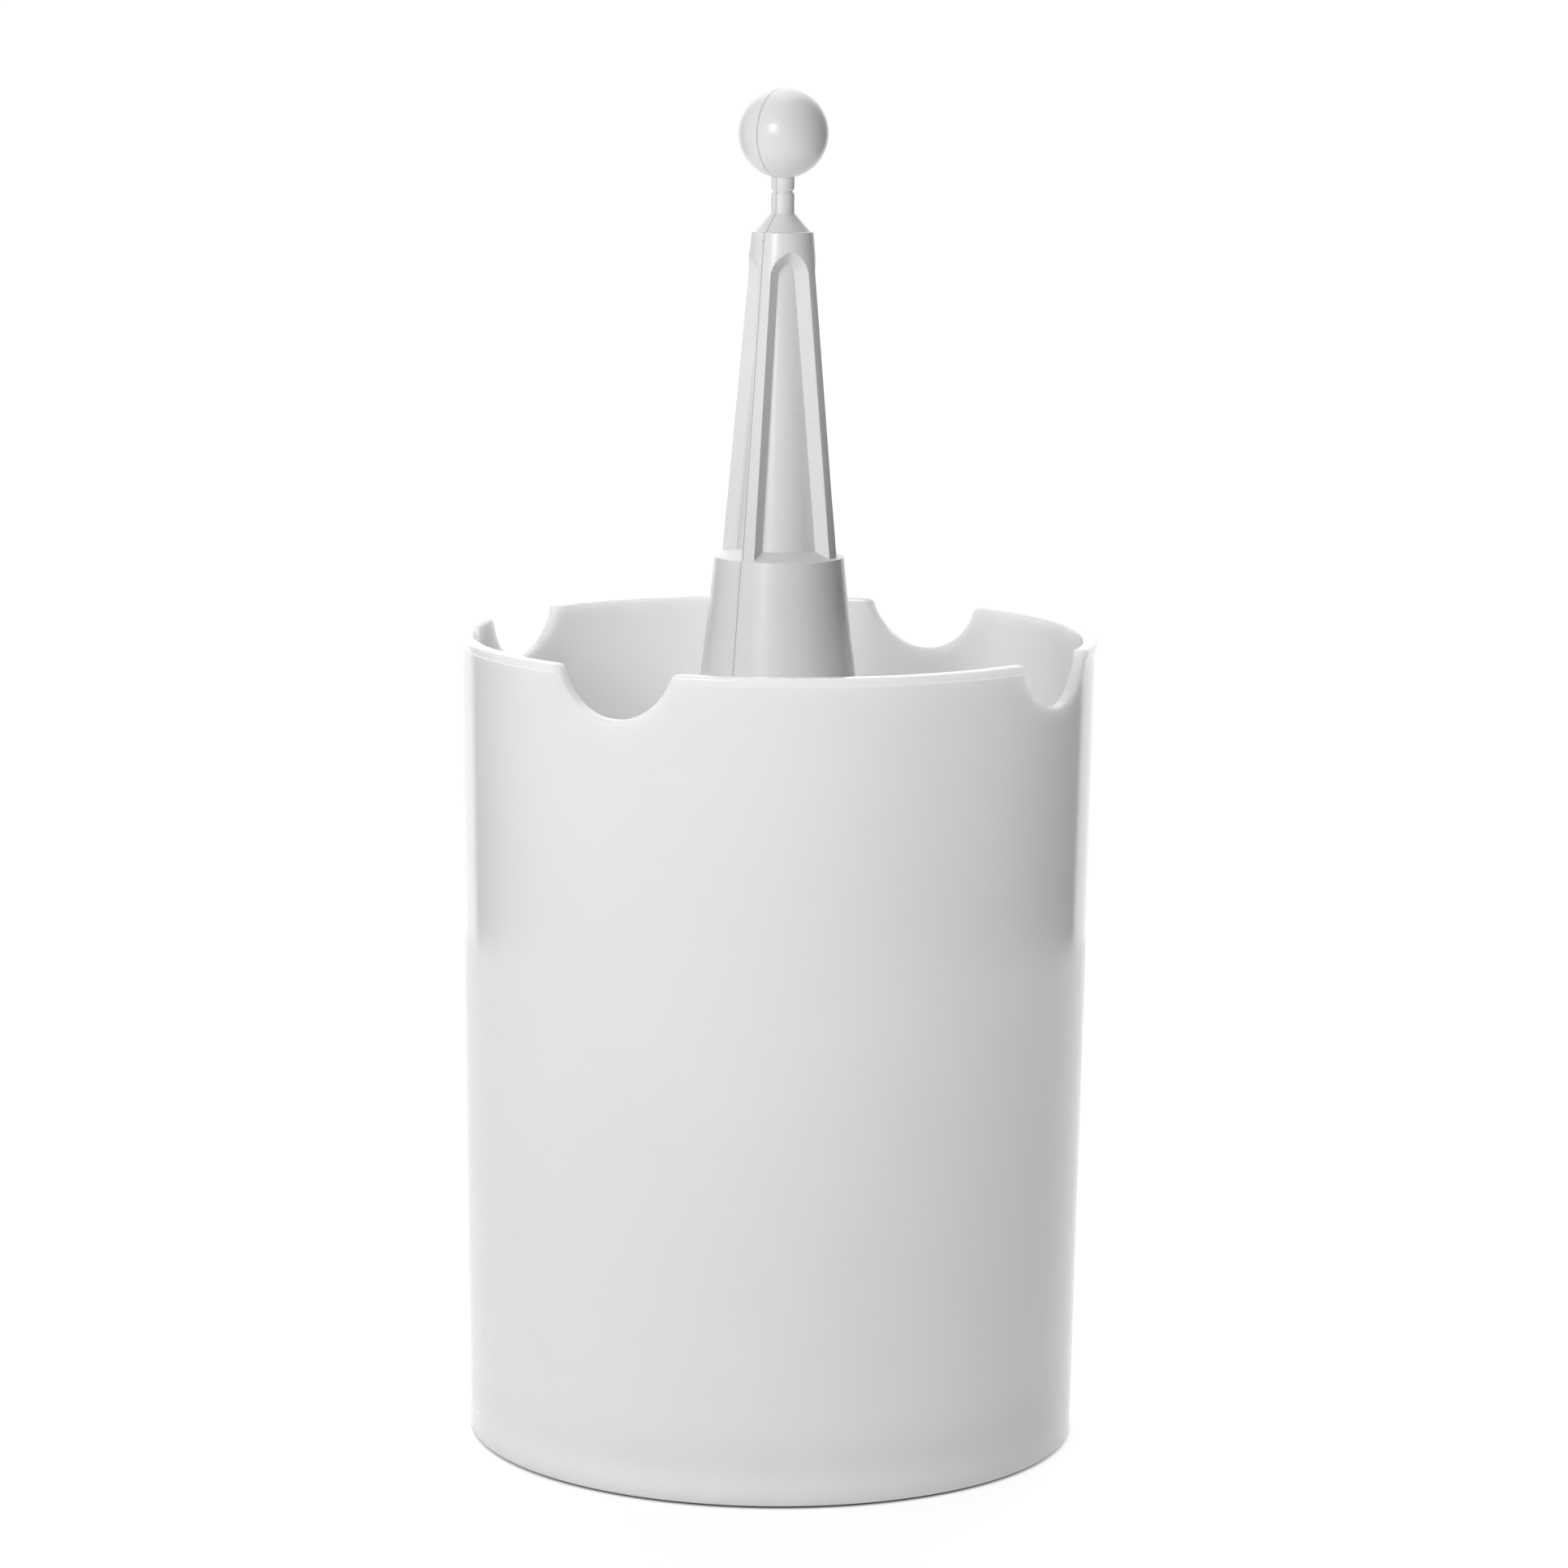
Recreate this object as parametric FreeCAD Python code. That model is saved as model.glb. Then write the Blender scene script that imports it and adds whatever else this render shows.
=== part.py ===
import FreeCAD, Part
import math
import os

V = FreeCAD.Vector
AXIS = V(0, 0, 1)
CENTRE = V(0, 0, 0)

# Toilet brush and holder.  Millimetres, +Z up, origin on the floor under the middle of the pot.
# The rim notches and the handle's ribs lie on the X and Y axes.

# ---------------------------------------------------------------- pot
POT_HEIGHT = 200.0        # rim above the floor
RIM_RADIUS = 78.7         # over the bead
BASE_RADIUS = 75.3        # at the foot ring
POT_WALL = 3.4
POT_FLOOR = 3.0
FOOT_RING = 5.0           # width of the ring the underside stands back from
UNDERSIDE_RISE = 1.6      # underside above the foot ring
INNER_CORNER = 5.0        # radius between the pot's wall and floor
BEAD_HEIGHT = 2.2
BEAD_PROUD = 0.4
BEAD_LIP = 0.8            # rounding of the bead's two top edges
NOTCHES = 4
NOTCH_RADIUS = 16.0
NOTCH_DEPTH = 11.8
NOTCH_SHOULDER = 2.0      # rounding where a notch meets the rim
PAD_RADIUS = 7.0
PAD_SUNK = 1.0            # depth of a foot pad in its recess
PAD_PROUD = 0.4           # pad below the foot ring
PAD_EDGE = 0.6            # bevel of a pad's foot
PAD_INSET = 1.7           # pad from the bevel inside the foot ring
PADS = 4

# ---------------------------------------------------------------- drip tray
TRAY_FLOOR = 2.0
TRAY_WALL = 2.0
TRAY_HEIGHT = 12.0
TRAY_GAP = 1.0            # between the tray's lip and the pot
SEAT_HEIGHT = 35.0        # collar round the bristles, above the tray's floor
SEAT_GAP = 1.0            # between the bristle tips and the collar
DRAINS = 8
DRAIN_WIDTH = 6.0
DRAIN_HEIGHT = 9.0
REST_RIB = 1.2            # ribs that keep the bristles out of the water
REST_RIB_WIDTH = 2.0
BRACES = 4
BRACE_HEIGHT = 8.0
BRACE_WIDTH = 1.8

# ---------------------------------------------------------------- brush head
REST_GAP = 0.3            # bristle ends above the rest ribs
END_BRISTLES = 7.5        # length of the bristles below the core
BRISTLE_RADIUS = 38.0
CORE_RADIUS = 11.0
ROWS = 7
ROW_PITCH = 10.5
ROW_GAP = 1.9             # between the tips of neighbouring rows
FIRST_ROW = 11.0          # first row above the core's lower end
CORE_EDGE = 1.5           # bevels of the core
TUFTS = 10
TUFT_RADIUS = 1.75
TUFT_GAP = 0.05           # tuft in its hole
TUFT_WEB = 0.4            # plastic left between the bottoms of neighbouring holes
STAPLE_LENGTH = 1.6       # along the hole
STAPLE_WIDTH = 3.4        # across the hole
STAPLE_THICKNESS = 0.4
STAPLE_GAP = 0.1          # staple to the bottom of its hole, and to its tuft
END_TUFTS = 6
END_TUFT_CIRCLE = 6.5
END_HOLE = 4.5            # depth of the tuft holes in the core's end
END_INSET = 5.0           # end bristles stand this far inside the rows
END_GAP = 1.0             # end bristles below the first row
ROOT_OVERLAP = 1.0        # bristles run this far past the mouth of a hole
SHOULDER_RADIUS = 17.0
SHOULDER_HEIGHT = 4.0
SHOULDER_ABOVE_ROWS = 4.2
STUD_RADIUS = 8.0
STUD_LENGTH = 21.5
SEAL_INSET = 0.5          # seal inside the edge of the shoulder
SEAL_HEIGHT = 1.5
SEAL_GAP = 0.6            # seal round the stud

# ---------------------------------------------------------------- handle
SKIRT_LIP = 8.0           # skirt below the seal's face
SKIRT_HEIGHT = 123.25
SKIRT_BASE_RADIUS = 29.2
SKIRT_TOP_RADIUS = 15.9
SKIRT_WALL = 2.4
LEDGE = 0.4               # bevel from the skirt up to the spire
SPIRE_HEIGHT = 79.1
SPIRE_BASE_RADIUS = 15.3
SPIRE_TOP_RADIUS = 7.6
SPIRE_EDGE = 0.5          # bevel round the spire's top
CONE_STEP = 0.8           # ledge round the foot of the cone under the neck
CONE_HEIGHT = 4.4
NECK_RADIUS = 2.86
NECK_LENGTH = 8.6         # visible between the cone and the ball
NECK_GROOVE = 0.5         # depth of the groove round the neck
NECK_GROOVE_RISE = 5.2    # groove above the cone
NECK_WALL = 1.06          # plastic between the groove and the rod
BALL_RADIUS = 11.0
BALL_WALL = 2.4
PART_LINE = -5.5          # degrees, mould line between the two halves from the front rib

PANELS = 4
RIB_HALF = 1.75           # half width of a rib on the spire's surface
PANEL_DEPTH = 4.0
PANEL_WALL = 1.2          # plastic between a panel's floor and the rod
PANEL_DRAFT = 32.0        # degrees, panel sides from square
SILL_RISE = 1.75          # bevel at a panel's foot
ARCH_DOWN = 4.7           # point of the arch below the spire's top
ARCH_RISE = 5.0           # point of the arch above its springing
ARCH_BULGE = 0.85
ARCH_POINT = 0.1          # half width of the point
FLOOR_ARCH_DOWN = 6.7     # the same three for the panel's floor
FLOOR_ARCH_RISE = 3.3
FLOOR_ARCH_BULGE = 0.5
FLOOR_ARCH_FLAT = 1.0     # half width of the little facet over the floor

CUTTER_PROUD = 0.2        # panel cutter outside the spire's surface
CUTTER_SUNK = 0.6         # panel cutter behind the panel's floor
END_WALL = 3.5            # plate at the handle's lower end
SOCKET_WALL = 4.0
FLANGE_STEP = 3.0         # flats of the socket's hexagonal flange outside its body
FLANGE_HEIGHT = 4.5
STUD_END_GAP = 1.0
SOCKET_CROWN = 3.0        # closed end of the socket
BOSS_WALL = 4.0
BOSS_HEIGHT = 8.0
SOCKET_GAP = 0.1          # socket in the handle halves
THREAD_GAP = 0.05         # stud in the socket
CAP_WEB = 2.4             # plate over the socket's flange
WEB = 2.4                 # plates across the skirt that hold the rod
WEB_RISES = (46.0, 82.0)  # webs above the handle's lower end
SOLID_TOP = 6.0           # solid plastic below the skirt's top
ROD_GAP = 0.05
ROD_SHORT = 2.0           # thick part of the rod below the spire's top
PIN_RADIUS = 1.0
PIN_GAP = 0.05

# ---------------------------------------------------------------- heights and sizes worked out
POT_BOTTOM = PAD_PROUD
POT_UNDERSIDE = POT_BOTTOM + UNDERSIDE_RISE
POT_INSIDE = POT_UNDERSIDE + POT_FLOOR
PAD_CIRCLE = BASE_RADIUS - FOOT_RING - UNDERSIDE_RISE - PAD_INSET - PAD_RADIUS
TRAY_INSIDE = POT_INSIDE + TRAY_FLOOR
BRUSH_BOTTOM = TRAY_INSIDE + REST_RIB + REST_GAP
CORE_BOTTOM = BRUSH_BOTTOM + END_BRISTLES
ROW_HEIGHT = ROW_PITCH - ROW_GAP
HOLE_BOTTOM = (TUFT_RADIUS + TUFT_GAP + TUFT_WEB / 2) / math.sin(math.pi / TUFTS)
ROW_HEIGHTS = [CORE_BOTTOM + FIRST_ROW + row * ROW_PITCH for row in range(ROWS)]
SHOULDER_BOTTOM = ROW_HEIGHTS[-1] + ROW_HEIGHT / 2 + SHOULDER_ABOVE_ROWS
SEAL_BOTTOM = SHOULDER_BOTTOM + SHOULDER_HEIGHT
HANDLE_FACE = SEAL_BOTTOM + SEAL_HEIGHT
SKIRT_BOTTOM = HANDLE_FACE - SKIRT_LIP
SKIRT_TOP = SKIRT_BOTTOM + SKIRT_HEIGHT
SPIRE_BOTTOM = SKIRT_TOP + LEDGE
SPIRE_TOP = SPIRE_BOTTOM + SPIRE_HEIGHT
NECK_BOTTOM = SPIRE_TOP + CONE_HEIGHT
BALL_BOTTOM = NECK_BOTTOM + NECK_LENGTH
BALL_CENTRE = BALL_BOTTOM + math.sqrt(BALL_RADIUS ** 2 - NECK_RADIUS ** 2)
STUD_TOP = SEAL_BOTTOM + STUD_LENGTH
SOCKET_RADIUS = STUD_RADIUS + THREAD_GAP + SOCKET_WALL
SOCKET_FLATS = 2 * (SOCKET_RADIUS + FLANGE_STEP)
SOCKET_TOP = STUD_TOP + STUD_END_GAP + SOCKET_CROWN
BOSS_TOP = SOCKET_TOP + BOSS_HEIGHT
ROD_BOTTOM = SOCKET_TOP + ROD_GAP
PIN_HEIGHT = SOCKET_TOP + BOSS_HEIGHT / 2
SEAT_RADIUS = BRISTLE_RADIUS + SEAT_GAP
SEAL_RADIUS = SHOULDER_RADIUS - SEAL_INSET
CONE_BASE_RADIUS = SPIRE_TOP_RADIUS - CONE_STEP
ROD_TIP_RADIUS = NECK_RADIUS - NECK_GROOVE - NECK_WALL - ROD_GAP
OVERRUN = 5.0             # cutters run this far past what they cut


def pot_radius(z):
    """Outside of the pot's plain wall at a height."""
    top = RIM_RADIUS - BEAD_PROUD
    return BASE_RADIUS + (top - BASE_RADIUS) * (z - POT_BOTTOM) / (POT_HEIGHT - POT_BOTTOM)


def skirt_radius(z):
    return SKIRT_BASE_RADIUS + (SKIRT_TOP_RADIUS - SKIRT_BASE_RADIUS) * (z - SKIRT_BOTTOM) / SKIRT_HEIGHT


def spire_radius(z):
    return SPIRE_BASE_RADIUS + (SPIRE_TOP_RADIUS - SPIRE_BASE_RADIUS) * (z - SPIRE_BOTTOM) / SPIRE_HEIGHT


ROD_RADIUS = spire_radius(SPIRE_TOP - FLOOR_ARCH_DOWN) - PANEL_DEPTH - PANEL_WALL - ROD_GAP
BOSS_RADIUS = ROD_RADIUS + BOSS_WALL


def wire(start, *steps):
    """Closed wire. A step is the next point, or a (middle, end) pair for an arc."""
    edges = []
    here = start
    for step in list(steps) + [start]:
        if isinstance(step, tuple):
            edges.append(Part.Arc(here, step[0], step[1]).toShape())
            here = step[1]
        elif (step - here).Length > 1e-6:
            edges.append(Part.makeLine(here, step))
            here = step
    return Part.Wire(edges)


def turned(start, *steps):
    """Solid turned about the Z axis from an outline given as (radius, height) points."""
    def place(step):
        if isinstance(step[0], tuple):
            return tuple(V(r, 0, z) for r, z in step)
        return V(step[0], 0, step[1])
    face = Part.Face(wire(place(start), *[place(step) for step in steps]))
    return face.revolve(CENTRE, AXIS, 360)


def rod(radius, low, high):
    return Part.makeCylinder(radius, high - low, V(0, 0, low))


def tube(inner, outer, low, high):
    return rod(outer, low, high).cut(rod(inner, low, high))


def around(shape, count, first=0.0):
    """Copies of a shape, evenly turned about the Z axis."""
    copies = []
    for step in range(count):
        copy = shape.copy()
        copy.rotate(CENTRE, AXIS, first + 360.0 * step / count)
        copies.append(copy)
    return copies


def corner(x, z, radius, across, up):
    """Middle of a quarter round whose square corner is at (x, z); across and up are the signs
    that lead from the corner into the material."""
    slip = radius * (1 - math.sqrt(0.5))
    return (x + across * slip, z + up * slip)


def hexagon(flats, low, high):
    points = [V(math.cos(math.radians(60 * k)), math.sin(math.radians(60 * k)), 0) for k in range(6)]
    ring = [point * (flats / math.sqrt(3)) + V(0, 0, low) for point in points]
    return Part.Face(wire(*ring)).extrude(V(0, 0, high - low))


# ---------------------------------------------------------------- pot
def notch_cutter():
    """One round-shouldered notch, cut outwards through the wall along +X."""
    middle = POT_HEIGHT - NOTCH_DEPTH + NOTCH_RADIUS
    drop = middle - (POT_HEIGHT - NOTCH_SHOULDER)
    reach = NOTCH_RADIUS + NOTCH_SHOULDER
    across = math.sqrt(reach ** 2 - drop ** 2)
    join = V(0, across * NOTCH_RADIUS / reach, middle - drop * NOTCH_RADIUS / reach)
    rim = V(0, across, POT_HEIGHT)
    half_turn = (math.pi / 2 + math.atan2(drop, across)) / 2
    bend = V(0, across - NOTCH_SHOULDER * math.cos(half_turn),
             POT_HEIGHT - NOTCH_SHOULDER + NOTCH_SHOULDER * math.sin(half_turn))
    top = V(0, 0, OVERRUN)

    def other(point):
        return V(0, -point.y, point.z)

    lowest = V(0, 0, POT_HEIGHT - NOTCH_DEPTH)
    outline = wire(rim, (bend, join), (lowest, other(join)), (other(bend), other(rim)),
                   other(rim) + top, rim + top)
    outline.translate(V(BASE_RADIUS / 2, 0, 0))
    return Part.Face(outline).extrude(V(RIM_RADIUS, 0, 0))


def make_pot():
    top = POT_HEIGHT
    bead = top - BEAD_HEIGHT
    inside_top = pot_radius(top) - POT_WALL
    inside_foot = pot_radius(POT_INSIDE + INNER_CORNER) - POT_WALL
    outline = [
        (0, POT_UNDERSIDE),
        (BASE_RADIUS - FOOT_RING - UNDERSIDE_RISE, POT_UNDERSIDE),
        (BASE_RADIUS - FOOT_RING, POT_BOTTOM),
        (BASE_RADIUS, POT_BOTTOM),
        (pot_radius(bead), bead),
        (RIM_RADIUS, bead + BEAD_PROUD),
        (RIM_RADIUS, top - BEAD_LIP),
        (corner(RIM_RADIUS, top, BEAD_LIP, -1, -1), (RIM_RADIUS - BEAD_LIP, top)),
        (inside_top + BEAD_LIP, top),
        (corner(inside_top, top, BEAD_LIP, 1, -1), (inside_top, top - BEAD_LIP)),
        (inside_foot, POT_INSIDE + INNER_CORNER),
        (corner(inside_foot, POT_INSIDE, INNER_CORNER, -1, 1), (inside_foot - INNER_CORNER, POT_INSIDE)),
        (0, POT_INSIDE),
    ]
    pot = turned(*outline)
    pad = rod(PAD_RADIUS, 0, POT_UNDERSIDE + PAD_SUNK)
    pad.translate(V(PAD_CIRCLE, 0, 0))
    pot = pot.cut(Part.Compound(around(pad, PADS, 45)))
    return pot.cut(Part.Compound(around(notch_cutter(), NOTCHES)))


def make_pads():
    high = POT_UNDERSIDE + PAD_SUNK
    pad = turned((0, 0), (PAD_RADIUS - PAD_EDGE, 0), (PAD_RADIUS, PAD_EDGE), (PAD_RADIUS, high), (0, high))
    pad.translate(V(PAD_CIRCLE, 0, 0))
    return around(pad, PADS, 45)


# ---------------------------------------------------------------- drip tray
def make_tray():
    lip = POT_INSIDE + TRAY_HEIGHT
    lip_radius = pot_radius(POT_INSIDE) - POT_WALL - TRAY_GAP
    foot_radius = lip_radius - INNER_CORNER
    slope = TRAY_WALL * (lip_radius - foot_radius) / TRAY_HEIGHT
    tray = turned((0, POT_INSIDE), (foot_radius, POT_INSIDE), (lip_radius, lip),
                  (lip_radius - TRAY_WALL, lip),
                  (foot_radius - TRAY_WALL + slope, TRAY_INSIDE), (0, TRAY_INSIDE))
    collar_top = TRAY_INSIDE + SEAT_HEIGHT
    collar = tube(SEAT_RADIUS, SEAT_RADIUS + TRAY_WALL, POT_INSIDE, collar_top)
    drain = Part.makeBox(SEAT_RADIUS + TRAY_WALL + OVERRUN, DRAIN_WIDTH, DRAIN_HEIGHT,
                         V(0, -DRAIN_WIDTH / 2, TRAY_INSIDE))
    collar = collar.cut(Part.Compound(around(drain, DRAINS, 180.0 / DRAINS)))
    rest = Part.makeBox(SEAT_RADIUS + TRAY_WALL / 2, REST_RIB_WIDTH, REST_RIB + TRAY_FLOOR / 2,
                        V(0, -REST_RIB_WIDTH / 2, TRAY_INSIDE - TRAY_FLOOR / 2))
    collar_middle = SEAT_RADIUS + TRAY_WALL / 2
    brace = Part.makeBox(foot_radius - collar_middle, BRACE_WIDTH, BRACE_HEIGHT + TRAY_FLOOR / 2,
                         V(collar_middle, -BRACE_WIDTH / 2, TRAY_INSIDE - TRAY_FLOOR / 2))
    return tray.multiFuse([collar] + around(rest, BRACES, 45) + around(brace, BRACES, 45)).removeSplitter()


# ---------------------------------------------------------------- brush head
def tuft_places():
    """(height, angle) of every tuft hole; alternate rows are turned by half a step."""
    step = 360.0 / TUFTS
    places = []
    for row, height in enumerate(ROW_HEIGHTS):
        for tuft in range(TUFTS):
            places.append((height, step * (tuft + 0.5 * (row % 2))))
    return places


def outward(shape, height, angle):
    """Moves a shape built along +X at the origin to a tuft's place."""
    copy = shape.copy()
    copy.translate(V(0, 0, height))
    copy.rotate(CENTRE, AXIS, angle)
    return copy


def end_tuft_places():
    return [V(0, 0, 0)] + [V(END_TUFT_CIRCLE * math.cos(2 * math.pi * k / END_TUFTS),
                             END_TUFT_CIRCLE * math.sin(2 * math.pi * k / END_TUFTS), 0)
                           for k in range(END_TUFTS)]


def make_core():
    edge = CORE_EDGE
    body = turned((0, CORE_BOTTOM), (CORE_RADIUS - edge, CORE_BOTTOM), (CORE_RADIUS, CORE_BOTTOM + edge),
                  (CORE_RADIUS, SHOULDER_BOTTOM - edge), (CORE_RADIUS + edge, SHOULDER_BOTTOM),
                  (SHOULDER_RADIUS, SHOULDER_BOTTOM), (SHOULDER_RADIUS, SEAL_BOTTOM),
                  (STUD_RADIUS, SEAL_BOTTOM), (STUD_RADIUS, STUD_TOP - edge),
                  (STUD_RADIUS - edge, STUD_TOP), (0, STUD_TOP))
    hole = Part.makeCylinder(TUFT_RADIUS + TUFT_GAP, CORE_RADIUS - HOLE_BOTTOM + OVERRUN,
                             V(HOLE_BOTTOM, 0, 0), V(1, 0, 0))
    holes = [outward(hole, height, angle) for height, angle in tuft_places()]
    for place in end_tuft_places():
        holes.append(Part.makeCylinder(TUFT_RADIUS + TUFT_GAP, END_HOLE + OVERRUN,
                                       place + V(0, 0, CORE_BOTTOM - OVERRUN)))
    return body.cut(Part.Compound(holes))


def make_bristle_row(row):
    """A row of bristles as one soft ring, with the tuft roots that fill its holes."""
    height = ROW_HEIGHTS[row]
    low = height - ROW_HEIGHT / 2
    high = height + ROW_HEIGHT / 2
    thin = ROW_HEIGHT / 4
    ring = turned((CORE_RADIUS, height - thin), (BRISTLE_RADIUS, low), (BRISTLE_RADIUS, high),
                  (CORE_RADIUS, height + thin))
    root_end = HOLE_BOTTOM + STAPLE_LENGTH + 2 * STAPLE_GAP
    root_length = CORE_RADIUS + ROOT_OVERLAP - root_end
    root = Part.makeCylinder(TUFT_RADIUS, root_length, V(root_end, 0, 0), V(1, 0, 0))
    roots = [outward(root, place, angle) for place, angle in tuft_places() if place == height]
    return ring.multiFuse(roots)


def make_end_bristles():
    """The bristles under the core, spread outwards below the first row."""
    high = ROW_HEIGHTS[0] - ROW_HEIGHT / 2 - END_GAP
    spread = BRISTLE_RADIUS - END_INSET
    tips = spread - END_BRISTLES
    dome = turned((0, BRUSH_BOTTOM), (tips, BRUSH_BOTTOM), (spread, high), (CORE_RADIUS, high),
                  (CORE_RADIUS, CORE_BOTTOM + CORE_EDGE), (CORE_RADIUS - CORE_EDGE, CORE_BOTTOM),
                  (0, CORE_BOTTOM))
    length = END_HOLE - STAPLE_LENGTH - 2 * STAPLE_GAP + ROOT_OVERLAP
    roots = [Part.makeCylinder(TUFT_RADIUS, length, place + V(0, 0, CORE_BOTTOM - ROOT_OVERLAP))
             for place in end_tuft_places()]
    return dome.multiFuse(roots)


def make_staples():
    """The flat wire anchors at the bottom of the tuft holes."""
    along, across, thick = STAPLE_LENGTH, STAPLE_WIDTH, STAPLE_THICKNESS
    staple = Part.makeBox(along, across, thick, V(HOLE_BOTTOM + STAPLE_GAP, -across / 2, -thick / 2))
    staples = [outward(staple, height, angle) for height, angle in tuft_places()]
    for place in end_tuft_places():
        high = CORE_BOTTOM + END_HOLE - STAPLE_GAP
        low = place + V(-across / 2, -thick / 2, high - along)
        staples.append(Part.makeBox(across, thick, along, low))
    return staples


def make_seal():
    return tube(STUD_RADIUS + SEAL_GAP, SEAL_RADIUS, SEAL_BOTTOM, HANDLE_FACE)


# ---------------------------------------------------------------- handle
def panel_cutter():
    """One recessed panel facing +Y: an arched pocket with sloping sides, a floor that is a cone
    inside the spire's cone, and a bevelled sill."""
    draft = math.tan(math.radians(PANEL_DRAFT))
    half = math.sqrt(0.5)

    def side(z, y):
        """Half width of the pocket at a height and a distance from the axis."""
        rib_edge = math.sqrt(spire_radius(z) ** 2 - RIB_HALF ** 2)
        return half * (rib_edge - RIB_HALF) - draft * (half * (rib_edge + RIB_HALF) - y)

    def outline(depth, down, rise, bulge, flat):
        """Arched outline in the plane that lies this deep behind the spire's surface."""
        def at(x, z):
            return V(x, spire_radius(z) - depth, z)
        top = SPIRE_TOP - down
        spring = top - rise
        foot = SPIRE_BOTTOM - OVERRUN
        width = side(spring, spire_radius(spring) - depth)
        chord = math.hypot(width - flat, rise)
        middle = ((width + flat) / 2 + bulge * rise / chord,
                  (top + spring) / 2 + bulge * (width - flat) / chord)
        foot_width = side(foot, spire_radius(foot) - depth)
        return wire(at(foot_width, foot), at(width, spring), (at(*middle), at(flat, top)), at(-flat, top),
                    (at(-middle[0], middle[1]), at(-width, spring)), at(-foot_width, foot))

    # The outer outline stands just off the surface and the inner one just behind the panel's floor.
    grow = CUTTER_PROUD * draft
    shrink = CUTTER_SUNK * draft
    outer = outline(-CUTTER_PROUD, ARCH_DOWN - grow, ARCH_RISE + grow, ARCH_BULGE, ARCH_POINT)
    inner = outline(PANEL_DEPTH + CUTTER_SUNK, FLOOR_ARCH_DOWN + shrink, FLOOR_ARCH_RISE - shrink,
                    FLOOR_ARCH_BULGE, FLOOR_ARCH_FLAT)
    pocket = Part.makeLoft([inner, outer], True, True)
    sill = SPIRE_BOTTOM + SILL_RISE
    beyond = SPIRE_BASE_RADIUS + OVERRUN
    ring = turned((spire_radius(sill) - PANEL_DEPTH, sill),
                  (beyond, SPIRE_BOTTOM - SILL_RISE * OVERRUN / PANEL_DEPTH),
                  (beyond, SPIRE_TOP), (spire_radius(SPIRE_TOP) - PANEL_DEPTH, SPIRE_TOP))
    return pocket.common(ring)


def handle_outside():
    """The whole outside of the handle: skirt, panelled spire, neck and ball."""
    skirt = turned((0, SKIRT_BOTTOM), (SKIRT_BASE_RADIUS, SKIRT_BOTTOM), (SKIRT_TOP_RADIUS, SKIRT_TOP),
                   (SPIRE_BASE_RADIUS, SPIRE_BOTTOM), (0, SPIRE_BOTTOM))
    spire = turned((0, SPIRE_BOTTOM), (SPIRE_BASE_RADIUS, SPIRE_BOTTOM),
                   (spire_radius(SPIRE_TOP - SPIRE_EDGE), SPIRE_TOP - SPIRE_EDGE),
                   (SPIRE_TOP_RADIUS - SPIRE_EDGE, SPIRE_TOP), (0, SPIRE_TOP))
    spire = spire.cut(Part.Compound(around(panel_cutter(), PANELS, 45)))
    groove = NECK_BOTTOM + NECK_GROOVE_RISE
    top = turned((0, SPIRE_TOP), (CONE_BASE_RADIUS, SPIRE_TOP), (NECK_RADIUS, NECK_BOTTOM),
                 (NECK_RADIUS, groove - NECK_GROOVE), (NECK_RADIUS - NECK_GROOVE, groove),
                 (NECK_RADIUS, groove + NECK_GROOVE), (NECK_RADIUS, BALL_BOTTOM),
                 ((BALL_RADIUS, BALL_CENTRE), (0, BALL_CENTRE + BALL_RADIUS)))
    return skirt.multiFuse([spire, top])


def handle_inside():
    """All that is hollow inside the handle, as solids to cut away."""
    face = HANDLE_FACE
    flange_low = face + END_WALL
    flange_high = flange_low + FLANGE_HEIGHT
    first_web = flange_high + CAP_WEB
    hollow_top = SKIRT_TOP - SOLID_TOP
    clear = SOCKET_RADIUS + SOCKET_GAP

    def hollow(low, high, inner=0.0):
        return turned((inner, low), (skirt_radius(low) - SKIRT_WALL, low),
                      (skirt_radius(high) - SKIRT_WALL, high), (inner, high))

    cuts = [hollow(SKIRT_BOTTOM - OVERRUN, face)]
    cuts.append(hollow(flange_low, flange_high, SOCKET_FLATS / math.sqrt(3) + SKIRT_WALL))
    cuts.append(rod(clear, face - OVERRUN, first_web + OVERRUN))
    cuts.append(hexagon(SOCKET_FLATS + 2 * SOCKET_GAP, flange_low, flange_high))
    webs = [face + rise for rise in WEB_RISES]
    lows = [first_web] + [web + WEB for web in webs]
    highs = webs + [hollow_top]
    for low, high in zip(lows, highs):
        cuts.append(hollow(low, high))
    cuts.append(rod(ROD_RADIUS + ROD_GAP, first_web, SPIRE_TOP - ROD_SHORT + ROD_GAP))
    cuts.append(rod(ROD_TIP_RADIUS + ROD_GAP, SPIRE_TOP - ROD_SHORT, BALL_CENTRE + ROD_GAP))
    ball_hollow = Part.makeSphere(BALL_RADIUS - BALL_WALL, V(0, 0, BALL_CENTRE))
    boss = rod(ROD_TIP_RADIUS + BALL_WALL, BALL_CENTRE - BALL_RADIUS, BALL_CENTRE + BALL_RADIUS)
    cuts.append(ball_hollow.cut(boss))
    return cuts


def make_handle_halves():
    handle = handle_outside().cut(Part.Compound(handle_inside()))
    reach = 2 * SKIRT_BASE_RADIUS
    tall = BALL_CENTRE + 2 * BALL_RADIUS
    left_side = Part.makeBox(reach, 2 * reach, tall, V(-reach, -reach, 0))
    left_side.rotate(CENTRE, AXIS, PART_LINE)
    return handle.common(left_side), handle.cut(left_side)


def cross_bar(gap, beyond):
    """The pin across the socket's boss and the rod, or with a gap its hole."""
    half_length = BOSS_RADIUS + beyond
    return Part.makeCylinder(PIN_RADIUS + gap, 2 * half_length, V(-half_length, 0, PIN_HEIGHT), V(1, 0, 0))


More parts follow.
